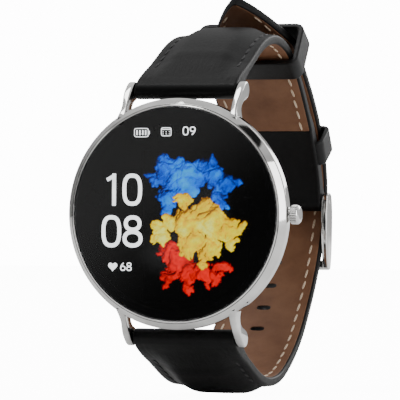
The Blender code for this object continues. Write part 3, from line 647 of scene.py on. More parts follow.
def turned_across(profile: Array, depth: float, height: float, steps: int = 64) -> Array:
    """A profile of (radius, along) turned about an axis along X, the crown's and the bars' direction.

    Args:
        profile: the profile's points.
        depth: the axis's depth.
        height: its height.
        steps: the points round the axis.

    Returns:
        A grid of points with one row to each profile point.
    """
    turn = np.linspace(0, 2 * np.pi, steps, endpoint=False)[None]
    radius, along = profile[:, :1], profile[:, 1:]
    return to_frame(along + 0 * turn, depth + radius * np.cos(turn), height + radius * np.sin(turn))


def plate_rows(outline: Array, low: float, high: float, bevel: float, levels: int = 5) -> tuple[Array, Array]:
    """An outline carried across with rounded rims: it is drawn in by a quarter circle at each end.

    Args:
        outline: closed (a, b) points.
        low: where the plate starts.
        high: where it ends.
        bevel: the rim's radius.
        levels: the rows of each rim.

    Returns:
        The inset outlines (rows, points, 2) and each row's level.
    """
    after, before = np.roll(outline, -1, axis=0), np.roll(outline, 1, axis=0)
    along = (after - before) / np.linalg.norm(after - before, axis=1)[:, None]
    area = np.sum(outline[:, 0] * after[:, 1] - after[:, 0] * outline[:, 1])
    inward = np.stack([-along[:, 1], along[:, 0]], axis=1) * np.sign(area)
    turn = np.linspace(0, np.pi / 2, levels)
    draw = bevel * (1 - np.sin(turn))
    level = np.concatenate([low + bevel * (1 - np.cos(turn)), (high - bevel * (1 - np.cos(turn)))[::-1]])
    draw = np.concatenate([draw, draw[::-1]])
    return outline[None] + inward[None] * draw[:, None, None], level


def closed_curve(points: list[tuple[float, float]], per_side: int = 10) -> Array:
    """A closed Catmull-Rom curve: each span is a cubic set by its two ends and their neighbours.

    Args:
        points: the points it passes.
        per_side: the samples to each span.

    Returns:
        The curve's points.
    """
    p = np.array(points, float)
    t = (np.arange(per_side) / per_side)[None, :, None]
    p0, p1, p2, p3 = (np.roll(p, shift, axis=0)[:, None] for shift in (1, 0, -1, -2))
    square, cube = 2 * p0 - 5 * p1 + 4 * p2 - p3, 3 * p1 - p0 - 3 * p2 + p3
    return ((2 * p1 + (p2 - p0) * t + square * t**2 + cube * t**3) / 2).reshape(-1, 2)


class Track:
    """A natural cubic spline through (depth, height) points, sampled and read by its length."""

    def __init__(self, points: list, side: float) -> None:
        """Solves the spline's bends and samples it.

        Args:
            points: the points it passes.
            side: 1 or -1, which turns its outward side.
        """
        self.side = side
        spots = np.array(points, float)
        knots = np.concatenate([[0.0], np.cumsum(np.linalg.norm(np.diff(spots, axis=0), axis=1))])
        gaps = np.diff(knots)[:, None]
        count = len(spots)
        system = np.eye(count)
        middle = np.arange(1, count - 1)
        system[middle, middle - 1] = gaps[:-1, 0]
        system[middle, middle] = 2 * (gaps[:-1] + gaps[1:])[:, 0]
        system[middle, middle + 1] = gaps[1:, 0]
        right = np.zeros((count, 2))
        slopes = np.diff(spots, axis=0) / gaps
        right[1:-1] = 6 * np.diff(slopes, axis=0)
        bend = np.linalg.solve(system, right)
        at = np.linspace(0, knots[-1], 4000)
        span = np.clip(np.searchsorted(knots, at, side="right") - 1, 0, count - 2)
        gap = gaps[span]
        b = (at - knots[span])[:, None]
        a = gap - b
        self.rows = (
            (bend[span] * a**3 + bend[span + 1] * b**3) / (6 * gap)
            + (spots[span] / gap - bend[span] * gap / 6) * a
            + (spots[span + 1] / gap - bend[span + 1] * gap / 6) * b
        )
        steps = np.linalg.norm(np.diff(self.rows, axis=0), axis=1)
        self.lengths = np.concatenate([[0.0], np.cumsum(steps)])
        self.length = float(self.lengths[-1])

    def point(self, s: Array) -> Array:
        """The (depth, height) at these lengths, as (..., 2)."""
        return np.stack([np.interp(s, self.lengths, self.rows[:, i]) for i in (0, 1)], axis=-1)

    def outward(self, s: Array) -> Array:
        """The unit normal away from the wrist: the direction of travel turned by a right angle.

        Args:
            s: lengths.

        Returns:
            The (depth, height) of each normal, as (..., 2).
        """
        step = self.point(np.minimum(s + 0.4, self.length)) - self.point(np.maximum(s - 0.4, 0.0))
        step = step / np.linalg.norm(step, axis=-1, keepdims=True)
        return self.side * np.stack([-step[..., 1], step[..., 0]], axis=-1)

    def place(self, s: Array, x: Array, rise: Array) -> Array:
        """Points at length s, across by x and rise above the strap's inner face.

        Args:
            s: lengths.
            x: places across.
            rise: heights above the inner face.

        Returns:
            Points in metres.
        """
        s, x, rise = np.broadcast_arrays(s, x, rise)
        spot = self.point(s) + rise[..., None] * self.outward(s)
        return to_frame(x, spot[..., 0], spot[..., 1])

    def where_height(self, height: float, after: float) -> float:
        """The first length past after where the track crosses this height.

        Args:
            height: the height.
            after: where the search starts.

        Returns:
            The length.
        """
        above = self.rows[:, 1] > height
        crossing = (above[1:] != above[:-1]) & (self.lengths[:-1] >= after)
        return float(self.lengths[:-1][crossing][0])


# ---------------------------------------------------------------- case


@dataclass
class Case:
    """The steel case, its lugs, the bezel ring and the case back, in millimetres."""

    radius: float = 21.0
    ring_inner: float = 19.5
    lug_inner: float = 10.0
    lug_neck: float = 1.12
    lug_head: float = 1.42
    lug_level: float = 1.3
    screw_circle: float = 16.05
    screw_steps: int = 96

    def band(self) -> bpy.types.Object:
        """The mid-case: a closed profile turned about the case's axis, its corners eased.

        Returns:
            The piece.
        """
        profile = eased(
            [(19.8, 0.15, 0.03), (19.93, 0.13, 0.05), (20.93, 1.26, 0.14), (self.radius, 1.45, 0.12),
             (self.radius, 3.3, 0.3), (20.75, 3.75, 0.4), (19.15, 7.15, 0.4), (18.75, 7.6, 0.2),
             (17.8, 7.6, 0.08), (17.8, 5.95, 0.0), (18.4, 5.95, 0.0), (18.4, 1.35, 0.0),
             (19.8, 1.35, 0.0)], True)
        skin = Skin().grid(turned(profile, 288), closed=True)
        for side in (-1, 1):
            for across in (-1, 1):
                skin.grid(self.lug(side, across))
        return place_on(skin.piece("case_band_and_lugs", GROUND_STEEL, 28), "case", "case_body")

    def lug(self, side: int, across: int) -> Array:
        """One lug: its side outline carried across with rounded rims, wider at its head and its root.

        Args:
            side: 1 at twelve o'clock, -1 at six.
            across: 1 on the crown's side, -1 on the other.

        Returns:
            A grid of points, one row to each level across.
        """
        outline = closed_curve(
            [(1.3, 15.9), (0.75, 17.2), (0.95, 17.9), (1.7, 18.95), (3.0, 20.95), (4.5, 22.7), (5.9, 23.85),
             (7.1, 24.15), (8.1, 23.6), (8.45, 22.5), (8.1, 21.4), (7.1, 20.75), (6.0, 20.35), (5.1, 19.5),
             (4.5, 18.2), (4.25, 17.0), (4.0, 15.9)], 8)
        rows, level = plate_rows(outline, 0.0, self.lug_level, 0.34, 7)
        height = rows[..., 1]
        head = smoothstep(height, 19.6, 22.4)
        flare = 1.0 - smoothstep(height, 16.6, 19.4)
        width = self.lug_neck + (self.lug_head - self.lug_neck) * head + 0.5 * flare
        x = self.lug_inner + level[:, None] / self.lug_level * width
        return to_frame(across * x, rows[..., 0], side * height)

    def ring(self) -> bpy.types.Object:
        """The bright chamfer ring round the glass.

        Returns:
            The piece.
        """
        inner, outer, low = self.ring_inner, 19.77, 1.25
        corners = [(inner, 0.0, 0.02), (19.56, 0.0, 0.02), (outer, 0.13, 0.02), (outer, low, 0.0)]
        profile = eased([*corners, (inner, low, 0.0)], True, 3)
        skin = Skin().grid(turned(profile, 288), closed=True)
        return place_on(skin.piece("bezel_chamfer_ring", POLISHED_STEEL, 28), "case", "bezel_ring")

    def back(self) -> None:
        """The case back, its window and its screws, each turned about its own axis."""
        plate = eased(
            [(17.65, 6.9, 0.0), (17.65, 7.45, 0.08), (13.5, 7.8, 0.5), (10.5, 8.65, 0.5), (9.8, 8.85, 0.25),
             (8.4, 8.85, 0.06), (8.4, 7.9, 0.0), (9.4, 7.8, 0.0), (12.6, 6.9, 0.0)], True)
        skin = Skin().grid(turned(plate, 240), closed=True)
        place_on(skin.piece("case_back_plate", GROUND_STEEL, 28), "case", "case_back")
        lens = [
            (0.0, 8.0, 0), (8.3, 8.0, 0), (8.3, 8.8, 0.1), (7.9, 9.18, 0.3), (6.9, 9.4, 0.6), (0.0, 9.4, 0),
        ]
        skin = Skin().grid(turned(eased(lens, False), 160), caps=False)
        place_on(skin.piece("sensor_window_lens", WINDOW, 30), "case", "sensor_window")
        for k, degrees in enumerate((45, 135, 225, 315), 1):
            angle = math.radians(degrees)
            self.screw(k, self.screw_circle * math.cos(angle), self.screw_circle * math.sin(angle))

    def screw(self, number: int, x: float, z: float) -> None:
        """One pan-head screw with a cross recess.

        The head is a turned profile whose top is sunk along both arms of a cross.

        Args:
            number: its number.
            x: its axis's place across.
            z: its axis's height.
        """
        radius = np.concatenate([np.linspace(0.0, 0.72, 22), [0.8, 0.84, 0.85, 0.85]])
        top = np.concatenate([np.full(22, 7.66), [7.64, 7.6, 7.55, 7.3]])
        grid = turned(np.stack([radius, top], axis=1), self.screw_steps, x, z)
        local_x, local_z = grid[..., 0] / MM - x, grid[..., 2] / MM - z
        arm = np.minimum(np.abs(local_x), np.abs(local_z))
        reach = np.maximum(np.abs(local_x), np.abs(local_z))
        cut = smoothstep(-arm, -0.15, -0.08) * smoothstep(-reach, -0.56, -0.48)
        grid[..., 1] -= 0.22 * cut * MM
        skin = Skin().grid(grid, caps=False)
        skin.rings.append(list(range(skin.count - self.screw_steps, skin.count)))
        place_on(skin.piece(f"back_screw_{number}", TURNED_STEEL, 40), "case", f"case_back_screw_{number}")

    def make(self) -> None:
        """Builds every piece of the case."""
        self.band()
        self.ring()
        self.back()


# ---------------------------------------------------------------- glass and display


@dataclass
class Display:
    """The cover glass, its black border, the dark display face and the lit signs on it, in millimetres."""

    glass_radius: float = 19.42
    lit_radius: float = 17.7
    sign_depth: float = 1.13
    sign_thickness: float = 0.015
    stroke: float = 0.74

    def glass(self) -> None:
        """The cover glass, a flat disc with a rounded rim, its printed border and the display's dark face."""
        rim = self.glass_radius
        disc = [
            (0.0, 0.0, 0), (19.3, 0.0, 0.1), (rim, 0.12, 0.08), (rim, 1.08, 0.05), (19.3, 1.1, 0.0),
            (0.0, 1.1, 0),
        ]
        skin = Skin().grid(turned(eased(disc, False), 288), caps=False)
        place_on(skin.piece("watch_glass", GLASS, 30), "case", "cover_glass")
        inner, top, low = self.lit_radius + 0.02, 1.12, 1.15
        profile = np.array([(inner, top), (19.4, top), (19.4, low), (inner, low)])
        skin = Skin().grid(turned(profile, 192), closed=True)
        place_on(skin.piece("glass_black_border", BLACK_PRINT, 30), "case")
        profile = np.array([(0.0, low), (self.lit_radius, low), (self.lit_radius, 1.65), (0.0, 1.65)])
        skin = Skin().grid(turned(profile, 192), caps=False)
        place_on(skin.piece("display_dark_face", DARK_SCREEN, 30), "case", "display_panel")

    def ribbon(self, x: Array, z: Array, wide: float, closed: bool = False) -> Array:
        """A flat stroke: each point of the line is moved half the width to both sides along its normal.

        Args:
            x: the line's places across.
            z: its heights.
            wide: the stroke's width.
            closed: whether the line closes.

        Returns:
            A closed band's grid, two faces thick.
        """
        line = np.stack([x, z], axis=1)
        if closed:
            along = np.roll(line, -1, axis=0) - np.roll(line, 1, axis=0)
        else:
            along = np.gradient(line, axis=0)
        along /= np.linalg.norm(along, axis=1)[:, None]
        side = np.stack([-along[:, 1], along[:, 0]], axis=1) * wide / 2
        front, back = self.sign_depth, self.sign_depth + self.sign_thickness
        ring = [(line + side, front), (line - side, front), (line - side, back), (line + side, back)]
        return np.stack([to_frame(p[:, 0], d, p[:, 1]) for p, d in ring], axis=1)

    def loop(
        self, skin: Skin, x: float, z: float, wide: float, high: float, stroke: float, power: float
    ) -> None:
        """A superellipse stroke: x is a signed power of the cosine and z of the sine.

        Args:
            skin: the skin to add to.
            x: the loop's middle across.
            z: its middle height.
            wide: its outer width.
            high: its outer height.
            stroke: the stroke's width.
            power: 2 for an ellipse, more for squarer.
        """
        turn = np.linspace(0, 2 * np.pi, 72, endpoint=False)
        c, s = np.cos(turn), np.sin(turn)
        line_x = x + (wide - stroke) / 2 * np.sign(c) * np.abs(c) ** (2 / power)
        line_z = z + (high - stroke) / 2 * np.sign(s) * np.abs(s) ** (2 / power)
        skin.grid(self.ribbon(line_x, line_z, stroke, True), closed=True)

    def digit(
        self, skin: Skin, shape: str, left: float, low: float, wide: float, high: float, stroke: float
    ) -> None:
        """One digit from loops and strokes.

        Args:
            skin: the skin to add to.
            shape: the digit.
            left: its left edge.
            low: its foot.
            wide: its width.
            high: its height.
            stroke: the stroke's width.
        """
        middle = left + wide / 2
        if shape == "0":
            self.loop(skin, middle, low + high / 2, wide, high, stroke, 2.7)
        elif shape == "1":
            x = left + wide - stroke / 2
            skin.grid(self.ribbon(np.full(8, x), np.linspace(low, low + high, 8), stroke))
            flag_x = np.linspace(left, x, 8)
            flag_z = low + high - stroke * 0.55 - (x - flag_x) * 0.55
            skin.grid(self.ribbon(flag_x, flag_z, stroke * 0.9))
        elif shape == "8":
            self.loop(skin, middle, low + high * 0.745, wide * 0.88, high * 0.51, stroke, 2.2)
            self.loop(skin, middle, low + high * 0.275, wide, high * 0.55, stroke, 2.2)
        else:
            up = 1 if shape == "6" else -1
            base = low + (high * 0.31 if up > 0 else high * 0.69)
            self.loop(skin, middle, base, wide, high * 0.62, stroke, 2.1)
            t = np.linspace(0, 1, 16)
            bend_x = middle - up * (wide - stroke) / 2 * (1 - t**2 * 1.35)
            bend_z = base + up * t * (high * 0.69 - stroke / 2)
            skin.grid(self.ribbon(bend_x, bend_z, stroke))

    def signs(self) -> None:
        """The time, the date, the pulse and the battery level."""
        skin = Skin()
        hours, minutes, date, pulse = 1.42, -6.15, 14.2, -10.4
        large = (("1", -13.3, hours, 1.75), ("0", -10.3, hours, 3.8), ("0", -14.3, minutes, 3.8),
                 ("8", -10.2, minutes, 3.85))
        for shape, left, low, wide in large:
            self.digit(skin, shape, left, low, wide, 5.85, self.stroke)
        for shape, left in (("0", 1.25), ("9", 2.6)):
            self.digit(skin, shape, left, date, 1.15, 1.6, 0.21)
        for shape, left in (("6", -10.65), ("8", -9.45)):
            self.digit(skin, shape, left, pulse, 1.05, 1.55, 0.2)
        self.battery(skin)
        self.heart(skin)
        self.calendar(skin)
        place_on(skin.piece("display_signs", SIGNS, 30), "case")

    def battery(self, skin: Skin) -> None:
        """A battery outline with four bars and its end button.

        Args:
            skin: the skin to add to.
        """
        self.loop(skin, -6.7, 14.7, 2.8, 1.65, 0.14, 7.0)
        for k in range(4):
            x = -7.55 + 0.56 * k
            skin.grid(self.ribbon(np.full(3, x), np.linspace(14.25, 15.15, 3), 0.26))
        skin.grid(self.ribbon(np.full(3, -5.15), np.linspace(14.4, 15.0, 3), 0.17))

    def calendar(self, skin: Skin) -> None:
        """A calendar leaf: an outline, its head line and six dots for the days.

        Args:
            skin: the skin to add to.
        """
        self.loop(skin, -1.9, 14.85, 2.0, 1.6, 0.13, 6.0)
        skin.grid(self.ribbon(np.linspace(-2.8, -1.0, 4), np.full(4, 15.28), 0.16))
        for k in range(6):
            x, z = -2.5 + 0.6 * (k % 3), 14.85 - 0.4 * (k // 3)
            skin.grid(self.ribbon(np.linspace(x - 0.08, x + 0.08, 3), np.full(3, z), 0.15))

    def heart(self, skin: Skin) -> None:
        """A heart: x is the cube of the sine and z the usual sum of cosines, filled from its middle.

        Args:
            skin: the skin to add to.
        """
        turn = np.linspace(0, 2 * np.pi, 48, endpoint=False)
        x = np.sin(turn) ** 3
        z = (13 * np.cos(turn) - 5 * np.cos(2 * turn) - 2 * np.cos(3 * turn) - np.cos(4 * turn)) / 16
        grow = np.array([0.02, 0.98, 0.98, 0.02])[:, None]
        depth = self.sign_depth + self.sign_thickness * np.array([0, 0, 1, 1])[:, None]
        middle_x, middle_z, size = -12.1, -9.6, 0.9
        skin.grid(to_frame(middle_x + size * grow * x, depth, middle_z + size * grow * z))

    def make(self) -> None:
        """Builds the glass and what shows through it."""
        self.glass()
        self.signs()


@dataclass(frozen=True)
class Plume:
    """One plume of ink: the discs (x, z, radius) in millimetres that it fills, its shades and a seed."""

    discs: tuple[tuple[float, float, float], ...]
    shades: tuple[str, ...]
    seed: int


BLUE = Plume(
    ((-4.2, 6.3, 1.4), (-2.0, 7.9, 2.0), (0.3, 9.1, 1.6), (1.5, 6.5, 3.1), (4.7, 9.1, 1.3), (6.4, 7.2, 2.4),
     (9.1, 5.4, 1.6), (11.4, 5.5, 0.6), (8.1, 2.7, 1.5), (-1.2, 3.2, 2.0), (-1.4, 0.5, 1.1)),
    ("000A38", "0040C8", "0078FF", "18B0FF"), 5,
)
RED = Plume(
    ((-1.8, -6.5, 1.7), (0.7, -8.0, 2.3), (-2.1, -11.8, 0.9), (-0.8, -10.8, 1.2), (2.3, -11.2, 2.0),
     (2.6, -14.0, 0.9), (5.3, -10.8, 1.7), (6.5, -13.2, 0.5), (8.2, -11.9, 0.8), (8.4, -9.4, 1.3),
     (10.0, -10.1, 0.5)),
    ("2C0000", "A80000", "F40000", "FF2A20"), 11,
)
YELLOW = Plume(
    ((-3.3, -2.6, 1.2), (-2.7, -4.3, 1.4), (-0.8, -1.5, 1.2), (1.1, 2.5, 1.2), (5.3, 1.5, 1.3),
     (3.0, -1.4, 2.7), (6.9, -1.4, 2.5), (9.9, -2.5, 2.0), (12.2, -2.8, 0.9), (3.0, -5.1, 2.1),
     (6.5, -6.1, 2.0), (5.3, -9.0, 0.9), (11.1, -5.0, 0.8)),
    ("8A5200", "FFC400", "FFE600", "FFFF70"), 23,
)


@dataclass
class InkCloud:
    """The picture on the display: plumes of ink worked out as a relief of puffs, then lit from above left."""

    step: float = 0.11
    depth: float = 1.135
    thickness: float = 0.012
    left: float = -6.2
    right: float = 13.9
    low: float = -15.9
    high: float = 11.6

    def noise(self, x: Array, z: Array, size: float, seed: int, octaves: int = 4) -> Array:
        """Fractal value noise: a random lattice read with smooth weights, summed at halving sizes.

        Args:
            x: places across.
            z: heights.
            size: the largest lumps' size.
            seed: the lattice's seed.
            octaves: how many sizes are summed.

        Returns:
            Values about 0, mostly within 0.5 of it.
        """
        cells = 64
        lattice = np.random.default_rng(seed).random((cells, cells))
        total = np.zeros_like(x)
        for octave in range(octaves):
            u, v = x / size * 2**octave + 31.7 * octave, z / size * 2**octave + 17.3 * octave
            i, j = np.floor(u).astype(int), np.floor(v).astype(int)
            a, b = smoothstep(u - i, 0, 1), smoothstep(v - j, 0, 1)
            i, j, after_i, after_j = i % cells, j % cells, (i + 1) % cells, (j + 1) % cells
            near = lattice[i, j] * (1 - a) + lattice[after_i, j] * a
            far = lattice[i, after_j] * (1 - a) + lattice[after_i, after_j] * a
            total += (near * (1 - b) + far * b - 0.5) / 2**octave
        return total

    def relief(self, plume: Plume, x: Array, z: Array) -> Array:
        """The plume's height: the highest of many hemispheres strewn over its discs, under a warp by noise.

        Args:
            plume: the plume.
            x: places across.
            z: heights.

        Returns:
            Its height at each place, below 0 where there is none.
        """
        rng = np.random.default_rng(plume.seed)
        wide, fine, seed = 1.5, 0.25, plume.seed
        warp_x = x + wide * self.noise(x, z, 2.6, seed) + fine * self.noise(x, z, 0.7, seed + 3)
        warp_z = z + wide * self.noise(x, z, 2.6, seed + 1) + fine * self.noise(x, z, 0.7, seed + 4)
        height = np.full_like(x, -1.0)
        for middle_x, middle_z, radius in plume.discs:
            away = (warp_x - middle_x) ** 2 + (warp_z - middle_z) ** 2
            body = 0.25 * radius + 0.5 * np.sqrt(np.maximum(radius**2 - away, 0.0))
            height = np.where(away < (0.92 * radius) ** 2, np.maximum(height, body), height)
            for _ in range(int(14 + 16 * radius**1.5)):
                turn, share = rng.random() * 2 * np.pi, np.sqrt(rng.random())
                size = (0.35 + 0.2 * radius) * (0.45 + 0.9 * rng.random()) * (1.2 - 0.55 * share)
                puff_x = middle_x + radius * 1.06 * share * np.cos(turn)
                puff_z = middle_z + radius * 1.06 * share * np.sin(turn)
                away = (warp_x - puff_x) ** 2 + (warp_z - puff_z) ** 2
                base = 0.6 * radius * (1 - share**2) + 0.35 * rng.random()
                dome = base + np.sqrt(np.maximum(size**2 - away, 0.0))
                height = np.where(away < size**2, np.maximum(height, dome), height)
        return height

    def picture(self, x: Array, z: Array) -> Array:
        """The colour at each place: slope to the light, height and noise choose among the plume's shades.

        Args:
            x: places across.
            z: heights.

        Returns:
            Linear RGBA at each place.
        """
        seen = np.zeros((*x.shape, 4))
        seen[..., 3] = 1.0
        for plume in (BLUE, RED, YELLOW):
            height = self.relief(plume, x, z)
            rough = height + 0.16 * self.noise(x, z, 0.9, plume.seed + 7)
            slope_z, slope_x = np.gradient(rough, self.step)
            facing = (1.0 + 0.5 * slope_z - 0.35 * slope_x) / np.sqrt(1 + slope_x**2 + slope_z**2)
            soft = self.noise(x, z, 3.0, plume.seed + 9)
            light = np.clip(0.38 + 0.48 * (facing - 0.6) + 0.1 * height + 0.6 * soft, 0.0, 1.0)
            shades = np.array([linear(code) for code in plume.shades])
            stops = np.linspace(0, 1, len(shades))
            colour = np.stack([np.interp(light, stops, shades[:, c]) for c in range(4)], axis=-1)
            cover = smoothstep(height, -0.2, 0.1)[..., None]
            seen = seen * (1 - cover) + colour * cover
        return seen

    def make(self) -> None:
        """Builds the lit sheet, a thin closed slab whose front grid carries the colours."""
        across = np.arange(self.left, self.right, self.step)
        up = np.arange(self.low, self.high, self.step)
        x, z = np.meshgrid(across, up)
        colours = self.picture(x, z)
        back_x = np.stack([x[:, -1], x[:, 0]], axis=1)
        ring_x = np.concatenate([x, back_x], axis=1)
        ring_z = np.concatenate([z, z[:, :2]], axis=1)
        back_depth = self.depth + self.thickness
        depth = np.concatenate([np.full_like(x, self.depth), np.full_like(back_x, back_depth)], axis=1)
        skin = Skin().grid(to_frame(ring_x, depth, ring_z))
        piece = skin.piece("display_ink_picture", INK, 30)
        count = len(piece.data.vertices)
        co = np.empty(count * 3, np.float32)
        piece.data.vertices.foreach_get("co", co)
        co = co.reshape(-1, 3) / MM
        column = np.clip(np.rint((co[:, 0] - self.left) / self.step).astype(int), 0, len(across) - 1)
        row = np.clip(np.rint((co[:, 2] - self.low) / self.step).astype(int), 0, len(up) - 1)
        layer = piece.data.color_attributes.new("ink", "FLOAT_COLOR", "POINT")
        layer.data.foreach_set("color", colours[row, column].astype(np.float32).ravel())
        place_on(piece, "case")


# ---------------------------------------------------------------- crown


@dataclass
class Crown:
    """The knurled push crown, in millimetres along X."""

    depth: float = 2.75
    radius: float = 1.75
    start: float = 21.42
    end: float = 23.1
    teeth: int = 26
    groove: float = 0.15

    def cap(self) -> None:
        """The cap: its radius dips between the teeth as a power of a cosine, and not at its bevelled face."""
        radius, start, end = self.radius, self.start, self.end
        rows = eased(
            [(1.22, 21.8, 0), (1.22, start, 0.03), (1.55, start, 0.05), (radius, start + 0.12, 0.06),
             (radius, end - 0.5, 0.06), (1.62, end - 0.3, 0.1), (1.3, end - 0.03, 0.15), (0.9, end, 0.3),
             (0.0, end, 0)],
            False, 5)
        steps = self.teeth * 12
        turn = np.linspace(0, 2 * np.pi, steps, endpoint=False)[None]
        radius, along = rows[:, :1], rows[:, 1:]
        toothed = smoothstep(radius, 1.45, 1.6) * (1 - smoothstep(along, end - 0.52, end - 0.34))
        dip = self.groove * toothed * (0.5 - 0.5 * np.cos(self.teeth * turn)) ** 1.6
        radius = radius - dip
        grid = to_frame(along + 0 * turn, self.depth + radius * np.cos(turn), radius * np.sin(turn))
        skin = Skin().grid(grid, caps=False)
        skin.rings.append(list(range(steps)))
        place_on(skin.piece("crown_knurled_cap", POLISHED_STEEL, 35), "crown_cap", "crown_cap")

    def collar(self) -> None:
        """The dark collar between the case and the crown."""
        bore, inner, outer, end = 0.95, 18.6, 1.3, 21.3
        corners = [(bore, inner, 0), (outer, inner, 0), (outer, 21.0, 0), (1.12, 21.12, 0.05),
                   (1.12, end, 0.04), (bore, end, 0.03)]
        skin = Skin().grid(turned_across(eased(corners, True, 3), self.depth, 0.0), closed=True)
        place_on(skin.piece("crown_collar", TURNED_STEEL, 30), "case", "crown_tube")

    def make(self) -> None:
        """Builds the crown."""
        self.cap()
        self.collar()


# ---------------------------------------------------------------- spring bars


@dataclass
class BarCoil:
    """The coil inside a spring bar, in millimetres along X."""

    label: str
    side: int
    start: float = 3.15
    end: float = 7.05
    radius: float = 0.32
    wire: float = 0.07
    turns: int = 8
    travel: float = 1.0

    def make(self) -> None:
        """Builds the coil: a circle of the wire carried along a helix, in planes through the bar's axis."""
        angle = np.linspace(0, 2 * np.pi * self.turns, self.turns * 28 + 1)[:, None]
        turn = np.linspace(0, 2 * np.pi, 10, endpoint=False)[None]
        out = self.radius + self.wire * np.cos(turn)
        x = self.start + (self.end - self.start) * angle / angle[-1] + self.wire * np.sin(turn)
        grid = to_frame(x, BAR_DEPTH + out * np.cos(angle), self.side * BAR_HEIGHT + out * np.sin(angle))
        piece = Skin().grid(grid).piece(f"spring_bar_{self.label}_wound_coil", TURNED_STEEL, 60)
        place_on(piece, "case", f"spring_bar_{self.label}_coil")
        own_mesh(piece)


# ---------------------------------------------------------------- strap


LOOP_12 = [
    (12.3, 25.1), (15.8, 27.1), (19.6, 29.1), (23.7, 30.8), (27.8, 31.7), (31.5, 31.8), (35.2, 31.1),
    (38.8, 29.6), (42.2, 27.3), (45.8, 24.0), (49.4, 20.1), (52.5, 16.4), (55.4, 12.2), (57.7, 8.2),
    (58.9, 4.9), (59.2, 2.4), (59.2, 0.7),
]
LOOP_6 = [
    (12.2, -24.9), (16.4, -27.0), (21.3, -29.0), (25.6, -30.1), (29.6, -30.3), (34.2, -29.6),
    (39.2, -27.5), (45.9, -23.2), (51.4, -17.7), (55.4, -12.9), (58.2, -8.8), (60.2, -5.0), (61.8, -1.4),
    (62.8, 2.2), (63.0, 5.8), (62.2, 9.6), (60.5, 13.5), (58.3, 17.2), (55.7, 20.6), (52.7, 23.8),
    (49.3, 27.1), (45.7, 30.5), (41.9, 33.5), (37.6, 36.5), (32.4, 39.6),
]


def strap_track(points: list, side: int) -> Track:
    """The inner profile of one strap half, straight at first so that its end wraps the spring bar evenly.

    Args:
        points: (depth, height) after the straight start.
        side: 1 at twelve o'clock, -1 at six.

    Returns:
        The track.
    """
    along = np.array([0.79, 0.613 * side])
    along /= np.linalg.norm(along)
    out = side * np.array([-along[1], along[0]])
    bar = np.array([BAR_DEPTH, BAR_HEIGHT * side])
    start = [bar - StrapHalf.end_radius * out + k * along for k in (-1.7, -0.6, 0.6, 1.9)]
    return Track(start + [np.array(p) for p in points], side)


